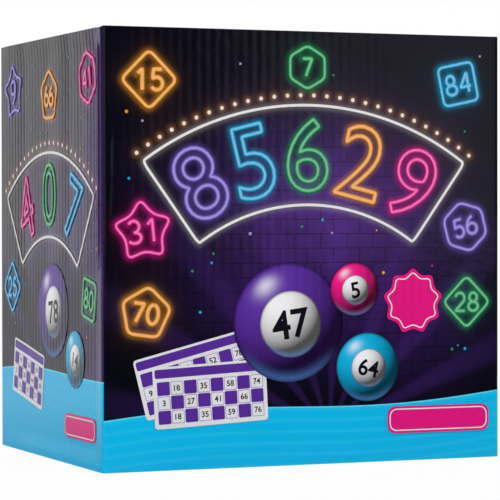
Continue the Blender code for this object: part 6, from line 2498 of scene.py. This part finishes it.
@dataclass
class BatteryBay:
    """Base with three cells, their contacts, the door and the rubber foot."""

    plate: float = -0.0735
    cell_z: float = -0.06305
    half_y: float = 0.0285
    length: float = 0.0492
    whole: float = 0.0505

    def build_cells(self) -> None:
        """Three cells in turn about, each with its spring."""
        length, whole = self.length, self.whole
        tip = self.half_y - 2 * CLEARANCE - 0.0006
        body = [(0.0, 0.0), (0.0058, 0.0), (0.0068, 0.0001), (0.0072, 0.0005), (0.00725, 0.0010)]
        body += [(0.00725, length - 0.0008), (0.0069, length - 0.0001), (0.0050, length)]
        body += [(0.0048, length - 0.0002), (0.0029, length - 0.0002)]
        body += [(0.0027, whole - 0.0003), (0.0024, whole), (0.0, whole)]
        for i, sign in enumerate((-1, 1, -1)):
            ahead, behind = (FACING_REAR, FACING_FRONT)[::sign]
            base = sign * (tip - whole)
            place = at(0.015 * (i - 1), base, self.cell_z)
            start = BALL_CENTRE.y + base
            wrap = CellWrap(f"cell_wrap_{i + 1}", "cell_wrap", start, start + sign * whole)
            cell = turned_shape(body[::-1], 56)
            stand_in(f"battery_cell_{i + 1}", cell, wrap, place=place @ ahead, smooth=25.0)
            spring = tube_along(coil(0.0028, 0.0045, CLEARANCE + 0.0004, 2 * tip - whole - 0.0004), 0.0004)
            stand_in(f"contact_spring_{i + 1}", spring, SPRING_STEEL, place=place @ behind)

    def build(self) -> None:
        """Makes the cells and the foot, and dresses the moulded parts."""
        self.build_cells()
        dress(DARK_GRAIN, "battery_box", "battery_door")
        dress(PLAIN_STEEL, "contact_strip_front", "contact_strip_rear")
        place = at(0, self.half_y + 0.0044, self.plate + 0.0008) @ Matrix.Rotation(math.pi, 4, "X")
        stand_in("door_screw", Screw(0.0060, 0.0008).build(), PLAIN_STEEL, place=place, body="door")
        top, foot = self.plate + 0.0008 - CLEARANCE, self.plate - 0.0020
        profile = [(0.0424, top)] + bow(0.0418, foot + 0.0006, 0.0006, 0.0006, 0, -90, 4)
        profile += bow(0.0392, foot + 0.0006, 0.0006, 0.0006, -90, -180, 4) + [(0.0386, top), (0.0424, top)]
        stand_in("foot_ring", turned_shape(profile, 112), SOFT_RUBBER)


@dataclass
class Leads:
    """Twisted pairs from the loudspeaker, the battery bay and the display to the main board."""

    wire: float = 0.00052
    twist: float = 0.009

    def pair(self, corners: Sequence[Place]) -> list[list[Vector]]:
        """Two wires that twist round a smooth route.

        Args:
            corners: Corners of the route.

        Returns:
            The points of each wire.
        """
        curve = wire_curve(corners, kind="NURBS")
        curve.resolution_u = 14
        curve.splines[0].use_endpoint_u = True
        curve.splines[0].order_u = 4
        shape = shape_of_curve(curve)
        route = [vert.co.copy() for vert in shape.verts]
        made: list[list[Vector]] = [[], []]
        travelled = 0.0
        for i, here in enumerate(route):
            before, after = route[max(i - 1, 0)], route[min(i + 1, len(route) - 1)]
            side = (after - before).cross(Vector((1, 0, 0))).normalized()
            other = (after - before).normalized().cross(side)
            travelled += (here - before).length
            for k, wire in enumerate(made):
                turn = math.tau * travelled / self.twist + math.pi * k
                wire.append(here + (side * math.cos(turn) + other * math.sin(turn)) * self.wire * 1.08)
        return made

    def build(self) -> None:
        """Makes the three leads."""
        routes = {
            "speaker_lead": (0.0, [
                (0.004, 0.0, 0.0520), (0.004, 0.001, 0.0490), (0.005, 0.018, 0.040), (0.006, 0.040, 0.030),
                (0.006, 0.0567, 0.022), (0.006, 0.0597, 0.022),
            ]),
            "battery_lead": (0.016, [
                (0, 0.0306, -0.060), (0, 0.0336, -0.060), (0, 0.047, -0.050), (0, 0.050, -0.034),
                (0, 0.0567, -0.022), (0, 0.0597, -0.022),
            ]),
            "display_lead": (-0.020, [
                (0, -0.0405, -0.036), (0, -0.0375, -0.036), (0, -0.014, -0.044), (0, 0.020, -0.044),
                (0, 0.042, -0.030), (0, 0.0567, -0.018), (0, 0.0597, -0.018),
            ]),
        }
        for node, (shift, corners) in routes.items():
            wires = self.pair([(x + shift, y, z) for x, y, z in corners])
            red, black = (tube_along(points, self.wire) for points in wires)
            stand_in(node, joined(red, coloured(black, 1)), RED_WIRE, BLACK_WIRE, smooth=60.0)


@dataclass
class CardPacks:
    """Four packs of twelve number cards on end."""

    board: float = 0.0015
    count: int = 12
    length: float = 0.180
    width: float = 0.080
    stand: float = 0.0066
    cell: Point = (0.0186, 0.0165)

    def print_side(self, name: str, node: str, x: float, low_y: float, way: int, seed: int) -> None:
        """Prints a number card's grid on the outermost face of a pack.

        Args:
            name: Name of the face.
            node: Node of the pack.
            x: Place of the face.
            low_y: Its lower edge along Y.
            way: 1 where it looks to +X, or -1.
            seed: Start of its own row of random numbers.
        """
        start = low_y if way > 0 else low_y + self.width
        panel = Panel(name, "carton", node, self.width, self.length, (x, start, self.stand), (0, way, 0), roll=0.0)
        art = Artwork(panel)
        draw = random.Random(seed)
        middle, (across, pitch) = self.width / 2, self.cell
        art.shape(moved(round_box(self.width - 0.004, 0.016, 0.002), middle, self.length - 0.012), Ink.PURPLE)
        cells, numbers = art.next_lift(), art.next_lift()
        for row in range(9):
            filled = set(draw.sample(range(4), 2))
            for column in range(4):
                s, t = middle + (column - 1.5) * across, 0.0125 + (row + 0.1) * pitch
                ink = Ink.LILAC if column in filled else Ink.PURPLE
                art.shape(moved(round_box(0.0176, pitch * 0.93, 0.0008, 2), s, t), ink, cells)
                if column in filled:
                    art.shape(moved(round_box(0.0164, pitch * 0.86, 0.0006, 2), s, t), Ink.WHITE, cells + 0.00001)
                    number = str(draw.randint(1, 9) + row * 10)
                    art.numeral(number, s, t, 0.0072, Ink.NIGHT, 0.0, numbers)
        sink = Matrix.Translation(-panel.out * (PRINT_LIFT - 0.00002))
        mesh = as_mesh(placed(art.flats, sink @ panel.matrix))
        art.map_onto(mesh)
        new_piece(name, mesh, [CARD_INK], [node], smooth=180.0)

    def build(self) -> None:
        """Makes the packs."""
        draw = random.Random(3)
        turn = Matrix(((0, 0, 1), (1, 0, 0), (0, 1, 0))).to_4x4()
        thickness = self.count * self.board
        packs = [(low_x, low_y) for low_x in (0.0833, 0.0833 + thickness + CLEARANCE) for low_y in (-0.086, 0.006)]
        for number, (low_x, low_y) in enumerate(packs, 1):
            cards = []
            for i in range(self.count):
                shift = draw.uniform(-0.0009, 0.0009) if 0 < i < self.count - 1 else 0.0
                card = plate_shape(round_box(self.width, self.length, 0.003, 4), 0.0, self.board - 0.00006)
                for face in card.faces:
                    face.material_index = int(abs(face.normal.z) <= 0.5)
                x, y = low_x + i * self.board + 0.00003, low_y + self.width / 2 + shift
                cards.append(placed(card, at(x, y, self.stand + self.length / 2) @ turn))
            node = f"card_pack_{number}"
            finishes = [WHITE_PAPER, CARD_EDGE]
            new_piece(f"{node}_cards", joined(*cards), finishes, [node], smooth=30.0)
            for word, x, way, seed in (("right", low_x + thickness, 1, 40), ("left", low_x, -1, 60)):
                self.print_side(f"{node}_print_{word}", node, x, low_y, way, seed + number)


@dataclass
class Leaflet:
    """Rules sheet, folded into six thin layers."""

    low_x: float = 0.1199
    layers: int = 6
    pitch: float = 0.00025
    half_width: float = 0.0375
    low: float = 0.0066
    high: float = 0.1566

    def build(self) -> None:
        """Makes the folded sheet, standing on its edge."""
        path: list[Place] = []
        for i in range(self.layers):
            x = self.low_x + 0.00013 + i * self.pitch
            half = (self.half_width - 0.0002) * (-1) ** i
            path += [(x, half * (k / 5 - 1), self.low) for k in range(11)]
        shape = swept(path, (0, 0, self.high - self.low))
        bmesh.ops.solidify(shape, geom=shape.faces[:], thickness=0.00009)
        new_piece("rules_leaflet_sheet", shape, [WHITE_PAPER], ["rules_leaflet"])


def crease(
    name: str, path: Sequence[Place], ends: tuple[Place, Place], away: Place, finish: Finish,
    bodies: tuple[str, str], turn: tuple[Place, Place], nodes: Sequence[str],
) -> None:
    """Paper strip that bends over a fold.

    Args:
        name: Name of the piece.
        path: Points across the fold, from the first body to the second.
        ends: Shifts of the path to its two ends along the fold.
        away: Direction that its printed side looks in.
        finish: Its finish.
        bodies: The two bodies that it joins.
        turn: Points before and after which it follows the one or the other body.
        nodes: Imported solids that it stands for.
    """
    first, last = Vector(ends[0]), Vector(ends[1])
    shape = outward(swept([Vector(place) + first for place in path], last - first), away)
    bmesh.ops.subdivide_edges(shape, edges=shape.edges[:], cuts=1)
    bmesh.ops.solidify(shape, geom=shape.faces[:], thickness=LINER)
    piece = new_piece(name, tinted(shape, NIGHT_HIGH), [finish], nodes, None)
    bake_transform(piece, *bodies, start=turn[0], end=turn[1])


def build_creases() -> None:
    """Paper that crosses each fold of the carton's top."""
    across = ((-LID_SIDE, 0, 0), (LID_SIDE, 0, 0))
    rear = [(0.0, 0.1050, 0.2663)] + [(0.0, y, z) for y, z in bow(0.1028, 0.2674, 0.0022, 0.0022, 0, 90, 10)]
    crease(
        "lid_crease_outer", rear, across, (0, 1, 1), NIGHT_INK, ("carton", "lid"),
        ((0, 0.1050, 0.2665), (0, 0.1030, 0.2695)), ("carton_sleeve", "lid_panel"),
    )
    inner = [(0.0, 0.1020 + 0.00008 * i, 0.2663 + 0.00006 * i) for i in range(11)]
    crease(
        "lid_crease_inner", inner, across, (0, 1, 1), WALL_KRAFT_X, ("carton", "lid"),
        ((0, 0.1020, 0.2663), (0, 0.1028, 0.2669)), ("carton_sleeve", "lid_panel"),
    )
    nose = bow(-0.1012 + 0.0007, 0.2680, 0.0009, 0.0016, 90, 240, 10) + [(-0.10125, 0.2660)]
    crease(
        "tuck_crease_outer", [(0.0, y, z) for y, z in nose], ((-TUCK_SIDE, 0, 0), (TUCK_SIDE, 0, 0)), (0, -1, 1),
        NIGHT_INK, ("lid", "tuck"), ((0, -0.1012, 0.2684), (0, -0.1012, 0.2661)), ("lid_panel", "tuck_flap"),
    )
    roll = [(0.13500, 0.26915), (0.13490, 0.26950), (0.13440, 0.26968), (0.13360, 0.26965), (0.13290, 0.26935)]
    roll += [(0.13240, 0.26880), (0.13210, 0.26810), (0.13190, 0.26730), (0.13178, 0.26665), (0.13165, 0.26640)]
    roll += [(0.13120, 0.26632)]
    for word, sign in (("left", -1), ("right", 1)):
        crease(
            f"dust_crease_{word}", [(sign * x, 0.0, z) for x, z in roll], ((0, -0.0910, 0), (0, 0.0925, 0)),
            (sign, 0, 1), NIGHT_INK, ("carton", f"dust_{word}"),
            ((sign * 0.1325, 0, 0.2690), (sign * 0.1314, 0, 0.2664)), ("carton_sleeve", f"dust_flap_{word}"),
        )


def build_contents() -> None:
    """Everything inside the carton."""
    for part in (
        CallerShells(), Display(), CallTop(), RearControls(), BatteryBay(), Leads(), CardPacks(), Leaflet()
    ):
        part.build()
    dress(DIVIDER_KRAFT, "bay_divider")
    dress(INSERT_KRAFT, "insert_tray", "insert_collar")
    dress(WALL_KRAFT_X, "glue_flap")
    dress(MEDIUM_KRAFT, "bottom_flap_left", "bottom_flap_right")
    dress(BASE_KRAFT, "bottom_flap_front", "bottom_flap_rear")


# Studio
@dataclass(frozen=True)
class StudioFloor(Finish):
    """White floor that keeps a faint shadow."""

    def build(self) -> bpy.types.Material:
        """Makes the floor's node tree."""
        graph = Graph(self.name)
        rays = graph.add("LightPath").outputs
        seen = graph.math("MAXIMUM", rays["Is Camera Ray"], rays["Is Transmission Ray"])
        diffuse = graph.add("BsdfDiffuse", {"Color": (0.80, 0.80, 0.80)})
        behind = graph.line(graph.step(graph.along((0, 1, 0)), -0.4, 0.6), 0.55, 0.02)
        mirrored = graph.add("Emission", {"Color": (1.0, 1.0, 1.0), "Strength": behind})
        diffuse = graph.add("MixShader", {0: rays["Is Glossy Ray"], 1: diffuse.outputs[0], 2: mirrored.outputs[0]})
        white = graph.add("Emission", {"Color": (1.0, 1.0, 1.0), "Strength": 1.0})
        feeds = {0: graph.times(seen, 0.95), 1: diffuse.outputs[0], 2: white.outputs[0]}
        return graph.end(graph.add("MixShader", feeds))


@dataclass
class Studio:
    """Camera, floor, world and lamps."""

    camera_place: Place = (-0.6291, -1.526, 0.1553)
    azimuth: float = -22.562
    elevation: float = 0.787
    roll: float = -0.10
    lens: float = 179.60
    lamp_size: float = 1.2

    def build_camera(self) -> None:
        """Camera at the photograph's angle."""
        data = bpy.data.cameras.new("camera")
        data.lens, data.sensor_width = self.lens, 36.0
        data.clip_start, data.clip_end = 0.05, 20.0
        camera = linked(bpy.data.objects.new("camera", data))
        a, e = math.radians(self.azimuth), math.radians(self.elevation)
        back = Vector((math.sin(a) * math.cos(e), -math.cos(a) * math.cos(e), math.sin(e)))
        turn = (-back).to_track_quat("-Z", "Y").to_matrix().to_4x4() @ Matrix.Rotation(math.radians(self.roll), 4, "Z")
        camera.matrix_world = Matrix.Translation(self.camera_place) @ turn
        bpy.context.scene.camera = camera

    def build_floor(self) -> None:
        """Pale floor under the carton."""
        shape = bmesh.new()
        bmesh.ops.create_grid(shape, x_segments=2, y_segments=2, size=6.0)
        mesh = as_mesh(shape)
        mesh.materials.append(StudioFloor("studio_floor", "").material())
        floor = linked(bpy.data.objects.new("studio_floor", mesh))

    def build_world(self) -> None:
        """White room, brighter behind the object than on the camera's side."""
        graph = Graph("studio", world=True)
        rays = graph.add("LightPath").outputs
        x, y, _ = graph.add("SeparateXYZ", {0: graph.places["Generated"]}).outputs
        glossy = graph.step(y, 0.0, 0.7, 0.0, 0.86)
        for low, high in ((-0.50, -0.32), (-0.18, -0.26)):
            glossy = graph.times(glossy, graph.step(x, low, high, 0.03))
        for low, high, ahead, level in ((0.366, 0.404, -0.62, 0.36), (-0.05, -0.40, -0.05, 0.40)):
            front = graph.add("MapRange", {0: y, 1: ahead, 2: ahead - 0.25}).outputs[0]
            glossy = graph.math("MAXIMUM", glossy, graph.times(graph.step(x, low, high, 0.0, level), front))
        plain = graph.add("Mix", {0: rays["Is Glossy Ray"], 2: 0.62, 3: glossy}, data_type="FLOAT").outputs[0]
        seen = graph.math("MAXIMUM", rays["Is Camera Ray"], rays["Is Transmission Ray"])
        level = graph.add("Mix", {0: seen, 2: plain, 3: 1.0}, data_type="FLOAT").outputs[0]
        shine = graph.add("Background", {"Color": (1.0, 1.0, 1.0), "Strength": level})
        bpy.context.scene.world = graph.end(shine, "World")

    def build_lamps(self) -> None:
        """Soft lamps, high at the left front, the right and the rear."""
        for name, place, power in (
            ("key_lamp", (-0.9, -1.1, 1.7), 17.0),
            ("fill_lamp", (1.5, -0.5, 1.5), 8.0),
            ("rear_lamp", (-0.6, 1.6, 1.5), 8.0),
        ):
            data = bpy.data.lights.new(name, "AREA")
            data.shape, data.size, data.energy = "DISK", self.lamp_size, power
            aim = (Vector((0, 0, 0.13)) - Vector(place)).to_track_quat("-Z", "Y").to_matrix().to_4x4()
            linked(bpy.data.objects.new(name, data)).matrix_world = at(*place) @ aim

    def build(self) -> None:
        """Sets the whole stage."""
        self.build_camera()
        self.build_floor()
        self.build_world()
        self.build_lamps()
        bpy.context.scene.view_settings.view_transform = "Standard"


def main() -> None:
    """Builds the stage and the object."""
    logging.basicConfig(level=logging.INFO, format="%(message)s")
    Studio().build()
    Carton().build()
    build_creases()
    build_contents()


if __name__ == "__main__":
    main()
